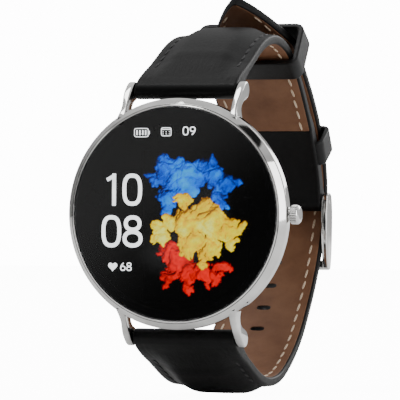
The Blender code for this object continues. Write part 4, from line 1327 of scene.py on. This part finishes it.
@dataclass
class StrapHalf:
    """One padded strap half: leather over a soft core, with a lining, stitches and, on the tail, slots."""

    label: str
    track: Track
    tail: bool
    end_radius: float = 1.65
    lug_half: float = 9.85
    buckle_half: float = 8.7
    tail_half: float = 8.4
    tip_length: float = 13.5
    tip_power: float = 0.72
    stitch_inset: float = 1.75
    stitch_pitch: float = 2.75
    slot_pitch: float = 5.5
    slot_wide: float = 2.8
    slot_long: float = 1.15
    used_slot: float = 3.4
    used_number: int = 4
    fold_length: float = 17.0
    wrinkle_pitch: float = 0.8
    wrinkle_height: float = 0.035

    def marks(self, values: list[tuple[float, float]], s: Array, soft: bool = False) -> Array:
        """Interpolation in (length, value) pairs, linear or with a smooth step from each pair to the next.

        Args:
            values: the pairs, a negative length being counted from the strap's end.
            s: lengths.
            soft: whether smooth steps are used.

        Returns:
            The values at the lengths.
        """
        places = np.array([m[0] if m[0] >= 0 else self.track.length + m[0] for m in values])
        heights = np.array([m[1] for m in values])
        if not soft:
            return np.interp(s, places, heights)
        k = np.clip(np.searchsorted(places, s, side="right") - 1, 0, len(places) - 2)
        share = smoothstep((s - places[k]) / (places[k + 1] - places[k]), 0, 1)
        return heights[k] + (heights[k + 1] - heights[k]) * share

    def half(self, s: Array) -> Array:
        """Half the strap's width. The tail is drawn in to a soft point by a power of the length that is left.

        Args:
            s: lengths.

        Returns:
            The half widths.
        """
        end = self.track.length
        if not self.tail:
            return self.marks([(0, self.lug_half), (end, self.buckle_half)], s)
        wide = self.marks([(0, self.lug_half), (70, self.buckle_half), (end, self.tail_half)], s)
        left = np.clip((end - s) / self.tip_length, 0.0, 1.0)
        return wide * left**self.tip_power

    def nose(self, distance: Array) -> Array:
        """Half the thickness of a rounded end, a semicircle about the bar or pin."""
        reach = np.clip(distance, 0.0, self.end_radius)
        return np.sqrt(np.maximum(self.end_radius**2 - (self.end_radius - reach) ** 2, 0.0))

    def limits(self, s: Array) -> tuple[Array, Array, Array]:
        """The lowest rise, the edge's highest rise and the padding's rise at these lengths.

        Args:
            s: lengths.

        Returns:
            Three arrays.
        """
        end = self.track.length
        wrap = 2 * self.end_radius
        edge, padding = [(0, wrap), (2.8, wrap), (9.8, 1.75)], [(0, 0), (3.0, 0), (12, 1.55)]
        low = 0.07 * smoothstep(s, 5.0, 5.4)
        if self.tail:
            high = self.marks([*edge, (end, 1.7)], s, True)
            pad = self.marks([*padding, (33, 1.5), (46, 0), (end, 0)], s, True)
            ends = [s]
        else:
            fold = [(-21, 1.75), (-16.5, 2.35), (-4.5, 2.5), (-2.6, wrap), (end, wrap)]
            high = self.marks([*edge, *fold], s, True)
            pad = self.marks([*padding, (-24, 1.55), (-14, 0), (end, 0)], s, True)
            low = low - 0.2 * smoothstep(s, end - 17.3, end - 16.9) + 0.13 * smoothstep(s, end - 4, end - 2)
            ends = [s, end - s]
        for distance in ends:
            inside = distance < self.end_radius
            low = np.where(inside, self.end_radius - self.nose(distance), low)
            high = np.where(inside, self.end_radius + self.nose(distance), high)
        return low, high, pad

    def top(self, s: Array, inset: Array, across: Array) -> Array:
        """The outer face's rise.

        It is the edge's rise plus the padding's, which swells in a smooth step inside the stitches and domes
        to the middle. A furrow follows the stitches, and short wrinkles run along the strap near the bar.

        Args:
            s: lengths.
            inset: distances from the strap's edge.
            across: places across.

        Returns:
            The rises.
        """
        _, high, pad = self.limits(s)
        wide = np.maximum(self.half(s), 0.2)
        swell = 0.7 * smoothstep(inset, self.stitch_inset + 0.2, self.stitch_inset + 3.6)
        dome = 0.3 * np.clip(1 - (across / wide) ** 2, 0, 1)
        sewn = smoothstep(s, 7.0, 8.5)
        furrow = 0.13 * np.exp(-(((inset - self.stitch_inset) / 0.38) ** 2)) * sewn
        window = smoothstep(s, 1.6, 3.0) * (1 - smoothstep(s, 4.6, 7.0)) * smoothstep(inset, 0.4, 1.4)
        drift = 2.1 * np.sin(across * 1.3) + 1.3 * np.sin(s * 0.9 + across)
        ripple = np.sin(2 * np.pi * across / self.wrinkle_pitch + drift)
        broken = 0.5 + 0.5 * np.sin(across * 0.85 + s * 0.7)
        return high + pad * (swell + dome) - furrow + self.wrinkle_height * window * ripple * broken

    def section(self) -> tuple[Array, Array]:
        """Distances from the edge across half the strap, close together at the edge and the stitches.

        Returns:
            The distances, and each one's share of the way to the middle past them.
        """
        inset = [0.45, 0.62, 0.85, 1.1, 1.3, 1.45, 1.6, 1.75, 1.9, 2.05, 2.25, 2.5, 2.8, 3.1, 3.5, 4.0]
        inset += [4.6, 5.3, 6.1]
        return np.array(inset), np.linspace(0, 1, 7)[1:]

    def stations(self, step: float = 0.36) -> Array:
        """Lengths along the strap, closer together at its rounded ends and folds.

        Args:
            step: the distance between them elsewhere.

        Returns:
            The lengths.
        """
        end, tight = self.track.length, 0.015
        first = tight + (self.end_radius - tight) * np.linspace(0, 1, 14) ** 2
        last, fold = end - first[::-1], [5.1, 5.2, 5.3]
        if self.tail:
            last = end - np.array([3.0, 2.2, 1.5, 1.0, 0.65, 0.4, 0.22, 0.1, 0.03])
        else:
            fold += [end - self.fold_length - more for more in (0.2, 0.1, 0.0)]
        middle = np.arange(self.end_radius + 0.2, last[0] - 0.15, step)
        return np.unique(np.concatenate([first, middle, fold, last]))

    def leather(self) -> bpy.types.Object:
        """The outer leather, closed round its core: a ring of top, round edges and underside at each length.

        Returns:
            The piece.
        """
        s = self.stations()[:, None]
        low, high, _ = self.limits(s)
        wide = self.half(s)
        room = np.minimum(1.0, wide / self.tail_half)
        near, share = self.section()
        inset = np.concatenate([near * room, near[-1] * room + (wide - near[-1] * room) * share], axis=1)
        x = wide - inset
        rise = self.top(s, inset, x)
        radius = np.minimum(np.minimum(0.45, (high - low) * 0.42), wide * 0.5)
        turn = np.linspace(0, np.pi / 2, 7)[None]
        arc_x = wide - radius + radius * np.cos(turn)
        edge_top = self.top(s, radius, wide - radius)
        arc_rise = edge_top - radius + radius * np.sin(turn)
        under_x = arc_x[:, ::-1]
        under_rise = low + radius - radius * np.sin(turn[:, ::-1])
        flat = np.linspace(1, 0, 6)[None, 1:]
        under_flat_x = (wide - radius) * flat
        right_x = np.concatenate([under_flat_x[:, ::-1], under_x, arc_x, x[:, 1:]], axis=1)
        right_rise = np.concatenate([low + 0 * under_flat_x, under_rise, arc_rise, rise[:, 1:]], axis=1)
        ring_x = np.concatenate([right_x, -right_x[:, -2:0:-1]], axis=1)
        ring_rise = np.concatenate([right_rise, right_rise[:, -2:0:-1]], axis=1)
        skin = Skin().grid(self.track.place(s, ring_x, ring_rise))
        piece = skin.piece(f"strap_{self.label}_calf_leather", CALF, 50)
        self.mark_creases(piece)
        return piece

    def mark_creases(self, piece: bpy.types.Object) -> None:
        """Stores how creased the leather is at each point: most near the bar, and a little everywhere.

        Args:
            piece: the leather.
        """
        mesh = piece.data
        co = np.empty(len(mesh.vertices) * 3, np.float32)
        mesh.vertices.foreach_get("co", co)
        co = co.reshape(-1, 3)
        side = self.track.side
        away = np.hypot(co[:, 1] / MM + THICKNESS - BAR_DEPTH, co[:, 2] / MM - side * BAR_HEIGHT)
        crease = 0.12 + 0.88 * smoothstep(away, 2.0, 4.0) * (1 - smoothstep(away, 6.0, 12.0))
        layer = mesh.attributes.new("crease", "FLOAT", "POINT")
        layer.data.foreach_set("value", crease.astype(np.float32))

    def lining(self) -> bpy.types.Object:
        """The lining: a thin sheet a little narrower than the strap, with rounded edges.

        Returns:
            The piece.
        """
        end = self.track.length
        last = end - 0.5 if self.tail else end - self.fold_length
        s = self.stations(0.5)
        s = np.unique(np.concatenate([[5.2], s[(s > 5.25) & (s < last - 0.05)], [last]]))[:, None]
        wide = np.maximum(self.half(s) - 0.42, 0.05)
        turn = np.linspace(0, np.pi, 7)[None]
        radius = np.minimum(0.16, wide * 0.4)
        edge_x = wide - radius + radius * np.sin(turn)
        edge_rise = 0.15 - 0.16 * np.cos(turn) + 0 * wide
        flat = np.linspace(1, -1, 12)[None, 1:-1] * (wide - radius)
        ring_x = np.concatenate([edge_x, flat, -edge_x[:, ::-1], -flat], axis=1)
        ring_rise = np.concatenate([edge_rise, 0 * flat + 0.31, edge_rise[:, ::-1], 0 * flat - 0.01], axis=1)
        skin = Skin().grid(self.track.place(s, ring_x, ring_rise))
        return skin.piece(f"strap_{self.label}_lining_leather", LINING, 50)

    def stitches(self, name: str, finish: Finish, places: Array, inset: float, inner: bool) -> None:
        """A row of stitches on both edges.

        Each stitch is a slim ellipsoid: its width and height follow the square root of 1 less its place along
        squared, and it leans a little across the row.

        Args:
            name: the piece's name.
            finish: the thread's finish.
            places: the stitches' lengths along the strap.
            inset: how far the row lies from the edge.
            inner: whether they lie on the lining.
        """
        along = np.sin(np.linspace(-1, 1, 9) * np.pi / 2)[:, None]
        turn = np.linspace(0, 2 * np.pi, 8, endpoint=False)[None]
        body = np.sqrt(np.maximum(1 - np.abs(along) ** 3.0, 0.0008))
        run = along * 0.98 + 0 * turn
        across = 0.23 * body * np.cos(turn)
        lift = 0.15 * body * np.sin(turn)
        skin = Skin()
        for side in (-1, 1):
            s = places[:, None, None] + run[None]
            room = np.minimum(1.0, self.half(places) / self.tail_half)[:, None, None]
            wide = self.half(s)
            x = wide - inset * room + across[None] + side * 0.1 * along[None]
            rise = (-0.03 + lift[None]) if inner else (self.top(s, inset * room, x) + 0.05 + lift[None])
            points = self.track.place(s, side * x, rise)
            for stitch in points:
                skin.grid(stitch)
        place_on(skin.piece(name, finish, 60), "case")

    def slot_places(self) -> Array:
        """The lengths of the adjusting slots, the fifth being in use."""
        used = self.track.where_height(-4.45, 60)
        return used + self.slot_pitch * np.arange(-self.used_number, 4)

    def cut(self, pieces: list[bpy.types.Object], grid: Array) -> None:
        """Cuts a closed grid out of pieces with an exact Boolean, applied to their meshes.

        Args:
            pieces: the pieces to cut.
            grid: the cutter's closed grid.
        """
        cutter = Skin().grid(grid).piece("cutter", CALF)
        for piece in pieces:
            modifier = piece.modifiers.new("cut", "BOOLEAN")
            modifier.operation = "DIFFERENCE"
            modifier.solver = "EXACT"
            modifier.object = cutter
            graph = bpy.context.evaluated_depsgraph_get()
            done = piece.evaluated_get(graph)
            mesh = bpy.data.meshes.new_from_object(done, preserve_all_data_layers=True, depsgraph=graph)
            piece.modifiers.clear()
            piece.data = mesh
            mesh.shade_smooth()
            mesh.set_sharp_from_angle(angle=math.radians(50))
        bpy.data.objects.remove(cutter, do_unlink=True)

    def slot_grid(self, s: float, wide: float, long: float) -> Array:
        """A rounded slot's cutter: a superellipse in the strap's face, carried through it.

        Args:
            s: the slot's place.
            wide: its width across the strap.
            long: its length along the strap.

        Returns:
            A closed grid.
        """
        turn = np.linspace(0, 2 * np.pi, 32, endpoint=False)[None]
        c, d = np.cos(turn), np.sin(turn)
        x = wide / 2 * np.sign(c) * np.abs(c) ** 0.55
        along = long / 2 * np.sign(d) * np.abs(d) ** 0.75
        rise = np.array([-1.2, 0.5, 2.0, 4.0])[:, None]
        centre, out = self.track.point(s), self.track.outward(s)
        forward = np.array([out[1], -out[0]]) * self.track.side
        spot = centre + along[..., None] * forward + (rise * np.ones_like(turn))[..., None] * out
        return to_frame(x + 0 * rise, spot[..., 0], spot[..., 1])

    def make(self) -> None:
        """Builds the half: its leather, lining, stitches and cut-outs."""
        leather = self.leather()
        lining = self.lining()
        end = self.track.length
        if self.tail:
            for k, s in enumerate(self.slot_places()):
                long = self.used_slot if k == self.used_number else self.slot_long
                self.cut([leather, lining], self.slot_grid(s, self.slot_wide, long))
            outer_end = inner_end = end - 3.6
        else:
            x = np.array([-1.45, -1.45, 1.45, 1.45])[None]
            s = self.track.point(end - 1.0)
            d = s[0] + np.array([-4.0, 5.5, 5.5, -4.0])[None]
            z = s[1] + np.array([-3.5, 3.6])[:, None]
            self.cut([leather], to_frame(x + 0 * z, d + 0 * z, z + 0 * x))
            outer_end, inner_end = end - 15.0, end - 18.2
        outer_places = np.arange(9.0, outer_end, self.stitch_pitch)
        inner_places = np.arange(7.5, inner_end, self.stitch_pitch)
        nodes = [f"strap_{self.label}_leather", f"strap_{self.label}_padding"]
        place_on(leather, "case", *nodes)
        place_on(lining, "case", f"strap_{self.label}_lining")
        name, inset = f"strap_{self.label}", self.stitch_inset
        self.stitches(f"{name}_outer_stitches", BLACK_THREAD, outer_places, inset, False)
        self.stitches(f"{name}_inner_stitches", TAN_THREAD, inner_places, inset + 0.2, True)


# ---------------------------------------------------------------- keepers


@dataclass
class Keepers:
    """The two leather bands that hold the tail, in millimetres."""

    upper: StrapHalf
    length: float = 5.0

    def band(self, s: float, low: float, high: float, half: float, wall: float) -> Array:
        """A rounded rectangle round the strap, its wall a rounded bar in section.

        The loop's corners are arcs. At each loop point the section runs out by the wall and along the strap.

        Args:
            s: the band's place along the strap.
            low: the lowest rise inside it.
            high: the highest rise inside it.
            half: half its inner width.
            wall: its thickness.

        Returns:
            A closed grid, one row to each loop point.
        """
        r = 1.0
        loop = eased([(half, low, r), (half, high, r), (-half, high, r), (-half, low, r)], True, 12)
        loop = loop[np.linalg.norm(loop - np.roll(loop, 1, axis=0), axis=1) > 1e-6]
        fine = []
        for one, two in zip(loop, np.roll(loop, -1, axis=0)):
            count = max(1, int(np.linalg.norm(two - one) / 1.2))
            fine.append(one + (two - one) * np.arange(count)[:, None] / count)
        loop = np.concatenate(fine)
        along = np.roll(loop, -1, axis=0) - np.roll(loop, 1, axis=0)
        along /= np.linalg.norm(along, axis=1)[:, None]
        out = np.stack([along[:, 1], -along[:, 0]], axis=1)
        middle = np.array([0.0, (low + high) / 2])
        out *= np.sign(np.sum(out * (loop - middle), axis=1))[:, None]
        h, inner_round, outer_round = self.length / 2, 0.2, 0.35
        low_end = [(0.0, -h, inner_round), (wall, -h, outer_round)]
        bow = eased([*low_end, (wall, h, outer_round), (0.0, h, inner_round)], True, 5)
        crown = 0.1 * np.cos(np.pi * bow[:, 1] / self.length) * (bow[:, 0] > wall / 2)
        cross = loop[:, None] + (bow[None, :, 0] + crown[None])[..., None] * out[:, None]
        centre, rise = self.upper.track.point(s), self.upper.track.outward(s)
        forward = np.array([rise[1], -rise[0]])
        spot = centre + bow[None, :, 1:] * forward + cross[..., 1:] * rise
        return to_frame(cross[..., 0], spot[..., 0], spot[..., 1])

    def make(self) -> None:
        """Builds both bands."""
        end = self.upper.track.length
        skin = Skin().grid(self.band(end - 11.2, 1.52, 7.15, 9.3, 0.8), closed=True)
        place_on(skin.piece("strap_fixed_keeper", BRIDLE, 50), "case", "fixed_keeper")
        s = self.upper.track.where_height(28.4, 30)
        skin = Skin().grid(self.band(s, -0.65, 7.2, 9.6, 1.0), closed=True)
        place_on(skin.piece("strap_free_keeper", BRIDLE, 50), "free_keeper", "free_keeper")


# ---------------------------------------------------------------- buckle


@dataclass
class Buckle:
    """The pin buckle, in millimetres."""

    lower: StrapHalf
    arm_in: float = 9.0
    arm_out: float = 10.2
    bar_radius: float = 0.95
    pin_radius: float = 0.7
    pin_clearance: float = 0.12

    def bar_place(self) -> tuple[float, float]:
        """Where the front bar is, outside the tail.

        Returns:
            Its depth and height.
        """
        track, tail_edge, room = self.lower.track, 1.75, 0.35
        s = track.where_height(-8.3, 60)
        spot = track.point(s) + (tail_edge + room + self.bar_radius) * track.outward(s)
        return float(spot[0]), float(spot[1])

    def frame_piece(self) -> None:
        """Two arms and the front bar. An arm is its side outline carried across with rounded rims."""
        d, z = PIN_DEPTH, PIN_HEIGHT
        bar_d, bar_z = self.bar_place()
        outline = closed_curve(
            [(d - 1.2, z + 1.3), (d, z + 1.8), (d + 1.3, z + 1.2), (d + 1.85, z - 1.2), (d + 1.95, z - 4.5),
             (bar_d + 1.45, bar_z + 3.6), (bar_d + 1.1, bar_z + 0.9), (bar_d + 0.55, bar_z - 0.75),
             (bar_d - 0.6, bar_z - 0.8), (bar_d - 1.2, bar_z + 0.3), (d - 1.75, z - 7.2),
             (d - 1.9, z - 4.0), (d - 1.7, z - 1.0)], 8)
        skin = Skin()
        for across in (-1, 1):
            rows, level = plate_rows(outline, self.arm_in, self.arm_out, 0.28, 6)
            skin.grid(to_frame(across * level[:, None] + 0 * rows[..., 0], rows[..., 0], rows[..., 1]))
        r, half = self.bar_radius, 9.7
        profile = eased([(0.0, -half, 0), (r, -half, 0.1), (r, half, 0.1), (0.0, half, 0)], False)
        skin.grid(turned_across(profile, bar_d, bar_z, 48), caps=False)
        place_on(skin.piece("buckle_polished_frame", POLISHED_STEEL, 30), "buckle_frame", "buckle_frame")

    def tongue(self) -> None:
        """The tongue: a flat rod along a bent line, thinner to its end, with a hub turned round the pin."""
        d, z = PIN_DEPTH, PIN_HEIGHT
        bar_d, bar_z = self.bar_place()
        face = bar_d + self.bar_radius
        line = [(d - 0.2, z - 0.9), (d - 0.6, z - 2.6), (d - 0.7, z - 4.8), (d - 0.1, z - 6.4),
                (d + 1.0, z - 7.6), (d + 1.9, z - 8.9), (face + 0.75, bar_z + 2.2), (face + 0.65, bar_z),
                (face + 0.25, bar_z - 1.3)]
        track = Track(line, 1)
        s = np.linspace(0, track.length, 60)[:, None]
        turn = np.linspace(0, 2 * np.pi, 24, endpoint=False)[None]
        c, b = np.cos(turn), np.sin(turn)
        thin = 1 - 0.35 * smoothstep(s, track.length - 2.2, track.length)
        x = 1.03 * thin * np.sign(c) * np.abs(c) ** 0.6
        rise = 0.34 * thin * np.sign(b) * np.abs(b) ** 0.7
        skin = Skin().grid(track.place(s, x, rise))
        bore, outer, half = self.pin_radius + self.pin_clearance, 1.48, 1.08
        corners = [(bore, -half, 0.05), (outer, -half, 0.18), (outer, half, 0.18), (bore, half, 0.05)]
        hub = eased(corners, True, 4)
        skin.grid(turned_across(hub, d, z, 48), closed=True)
        place_on(skin.piece("buckle_polished_tongue", POLISHED_STEEL, 35), "buckle_tongue", "buckle_tongue")

    def pin(self) -> None:
        """The hinge pin with its slimmer ends, which show in the arms."""
        r, slim, half, shoulder = self.pin_radius, 0.42, 10.24, 8.85
        corners = [
            (0.0, -half, 0), (slim, -half, 0.08), (slim, -shoulder, 0), (r, -shoulder, 0.05),
            (r, shoulder, 0.05), (slim, shoulder, 0), (slim, half, 0.08), (0.0, half, 0),
        ]
        skin = Skin().grid(turned_across(eased(corners, False, 3), PIN_DEPTH, PIN_HEIGHT, 40), caps=False)
        place_on(skin.piece("buckle_hinge_pin", TURNED_STEEL, 30), "case", "buckle_pin")

    def make(self) -> None:
        """Builds the buckle."""
        self.frame_piece()
        self.tongue()
        self.pin()


# ---------------------------------------------------------------- kept CAD nodes and the studio


class Inner(Enum):
    """The finish of each kept CAD node, by the start of its name."""

    battery = FOIL
    button_switch = PLASTIC
    case_back_gasket = RUBBER
    charging_contact = GOLD
    crown_clip = TURNED_STEEL
    crown_seal = RUBBER
    crown_stem = TURNED_STEEL
    glass_gasket = RUBBER
    inner_frame = PLASTIC
    main_board = BOARD
    processor_shield = TURNED_STEEL
    sensor_board = BOARD
    spring_bar = TURNED_STEEL
    vibration_motor = TURNED_STEEL


def dress_inside() -> None:
    """Gives each kept CAD node the finish whose label is the longest start of the node's name."""
    for name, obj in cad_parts.items():
        labels = [label for label in Inner.__members__ if name.startswith(label)]
        if not labels:
            continue
        finish = Inner[max(labels, key=len)].value
        for slot in obj.material_slots:
            slot.material = finish.material()
        log.info("%s is dressed as %s", name, finish.name)


@dataclass(frozen=True)
class Lamp:
    """A rectangular soft lamp aimed at the watch: its place and size in metres and its power in watts."""

    name: str
    place: tuple[float, float, float]
    size: tuple[float, float]
    power: float

    def make(self) -> None:
        """Sets up the lamp."""
        data = bpy.data.lights.new(self.name, "AREA")
        data.shape = "RECTANGLE"
        data.size, data.size_y = self.size
        data.energy = self.power
        obj = bpy.data.objects.new(self.name, data)
        bpy.context.scene.collection.objects.link(obj)
        obj.location = self.place
        aim = -np.array(self.place) / np.linalg.norm(self.place)
        obj.rotation_euler = mathutils.Vector(aim).to_track_quat("-Z", "Y").to_euler()


LAMPS = (
    Lamp("lamp_above", (-0.25, -0.2, 0.95), (0.5, 0.3), 3.5),
    Lamp("lamp_crown_side", (0.85, -0.3, 0.2), (0.35, 0.8), 5.0),
    Lamp("lamp_left", (-0.9, -0.3, 0.3), (0.3, 0.6), 1.0),
    Lamp("lamp_back", (0.4, 0.9, 0.4), (0.6, 0.5), 5.0),
)


@dataclass
class Studio:
    """A pale floor, the light and the camera, in metres and degrees. A glow is (from, to, low, high)."""

    azimuth: float = 19.9
    distance: float = 0.68
    width: float = 0.07224
    roll: float = 0.35
    shift_x: float = 0.0645
    shift_y: float = 0.0348
    floor_size: float = 1.6
    floor_front: float = -0.12
    floor_glow: float = 12.0
    backdrop: float = 14.0
    side_glow: tuple[float, float, float, float] = (-0.3, 0.8, 0.04, 0.62)
    above_glow: tuple[float, float, float, float] = (0.15, 0.85, 0.0, 0.95)
    behind_glow: tuple[float, float, float, float] = (-0.2, 0.6, 0.0, 0.3)
    dark_card: tuple[float, float, float] = (0.49, -0.22, 0.843)
    card_edge: tuple[float, float, float, float] = (0.978, 0.985, 1.0, 0.02)
    sheen: float = 0.5
    sheen_way: tuple[float, float, float] = (-0.707, 0.0, 0.707)
    sheen_slope: tuple[float, float, float, float] = (0.19, 0.285, 0.0, 1.0)
    sheen_edge: tuple[float, float, float, float] = (0.988, 0.996, 0.0, 1.0)
    sheen_power: float = 1.6

    def floor(self) -> None:
        """A wide pale sheet that the strap stands on, clear from below."""
        size, front, z = self.floor_size, self.floor_front, CAD_BOX[0][2] - 0.0002
        mesh = bpy.data.meshes.new("floor")
        corners = [(-size, front, z), (size, front, z), (size, size, z), (-size, size, z)]
        mesh.from_pydata(corners, [], [(0, 1, 2, 3)])
        obj = bpy.data.objects.new("floor", mesh)
        bpy.context.scene.collection.objects.link(obj)
        made = bpy.data.materials.new("paper_white_coated")
        made.use_nodes = True
        tree = made.node_tree
        shader = tree.nodes["Principled BSDF"]
        shader.inputs["Base Color"].default_value = linear("F6F6F6")
        shader.inputs["Roughness"].default_value = 0.7
        shader.inputs["Emission Color"].default_value = linear("FFFFFF")
        eye = add_node(tree, "LightPath").outputs["Is Camera Ray"]
        tree.links.new(maths(tree, "MULTIPLY", eye, self.floor_glow), shader.inputs["Emission Strength"])
        below = add_node(tree, "NewGeometry").outputs["Backfacing"]
        clear = add_node(tree, "BsdfTransparent").outputs[0]
        both = add_node(tree, "MixShader", i0=below, i1=shader.outputs[0], i2=clear)
        tree.links.new(both.outputs[0], tree.nodes["Material Output"].inputs["Surface"])
        mesh.materials.append(made)

    def toward(self, tree: Tree, way: Socket, target: mathutils.Vector) -> Socket:
        """How well a direction agrees with a target, as their dot product."""
        return add_node(tree, "VectorMath", {"operation": "DOT_PRODUCT"}, i0=way, i1=target).outputs["Value"]

    def world(self) -> None:
        """A white room for the eye. Its light is brighter above and on the crown's side than on the other.

        A dark card stands where the band's upper right mirrors it, and a faint sheen where the glass does.
        """
        world = bpy.data.worlds.new("studio")
        bpy.context.scene.world = world
        world.use_nodes = True
        tree = world.node_tree
        tree.nodes.clear()
        way = add_node(tree, "TexCoord").outputs["Generated"]
        parts = add_node(tree, "SeparateXYZ", i0=way).outputs
        side, above = ranged(tree, parts[0], *self.side_glow), ranged(tree, parts[2], *self.above_glow)
        behind = ranged(tree, parts[1], *self.behind_glow)
        glow = maths(tree, "ADD", maths(tree, "MAXIMUM", side, above), behind)
        card = self.toward(tree, way, mathutils.Vector(self.dark_card).normalized())
        glow = maths(tree, "MULTIPLY", glow, ranged(tree, card, *self.card_edge))
        angle = math.radians(self.azimuth)
        mirrored = self.toward(tree, way, mathutils.Vector((-math.sin(angle), -math.cos(angle), 0.0)))
        slope = self.toward(tree, way, mathutils.Vector(self.sheen_way))
        fade = maths(tree, "POWER", ranged(tree, slope, *self.sheen_slope), self.sheen_power)
        faint = maths(tree, "MULTIPLY", fade, self.sheen)
        sheen = maths(tree, "MULTIPLY", ranged(tree, mirrored, *self.sheen_edge), faint)
        lit = add_node(tree, "Background", Color=(1, 1, 1, 1), Strength=maths(tree, "ADD", glow, sheen))
        white = add_node(tree, "Background", Color=(1, 1, 1, 1), Strength=self.backdrop)
        eye = add_node(tree, "LightPath").outputs["Is Camera Ray"]
        both = add_node(tree, "MixShader", i0=eye, i1=lit.outputs[0], i2=white.outputs[0])
        add_node(tree, "OutputWorld", i0=both.outputs[0])

    def camera(self) -> None:
        """A long lens level with the display, turned to the crown's side."""
        data = bpy.data.cameras.new("camera")
        data.lens = data.sensor_width * self.distance / self.width
        data.shift_x, data.shift_y = self.shift_x, self.shift_y
        data.clip_start, data.clip_end = 0.01, 20.0
        obj = bpy.data.objects.new("camera", data)
        bpy.context.scene.collection.objects.link(obj)
        angle, far = math.radians(self.azimuth), self.distance
        obj.location = (far * math.sin(angle), -THICKNESS * MM - far * math.cos(angle), 0.0)
        obj.rotation_mode = "XYZ"
        obj.rotation_euler = (math.pi / 2, 0.0, angle)
        obj.rotation_euler.rotate_axis("Z", math.radians(self.roll))
        bpy.context.scene.camera = obj

    def make(self) -> None:
        """Sets up the studio."""
        self.floor()
        self.world()
        for lamp in LAMPS:
            lamp.make()
        self.camera()


def main() -> None:
    """Builds the watch's pieces in order and sets up the studio."""
    logging.basicConfig(level=logging.INFO, format="%(message)s")
    Case().make()
    Display().make()
    InkCloud().make()
    Crown().make()
    BarCoil("12", 1).make()
    BarCoil("6", -1).make()
    upper = StrapHalf("12", strap_track(LOOP_12, 1), False)
    lower = StrapHalf("6", strap_track(LOOP_6, -1), True)
    upper.make()
    lower.make()
    Keepers(upper).make()
    Buckle(lower).make()
    dress_inside()
    Studio().make()


if __name__ == "__main__":
    main()
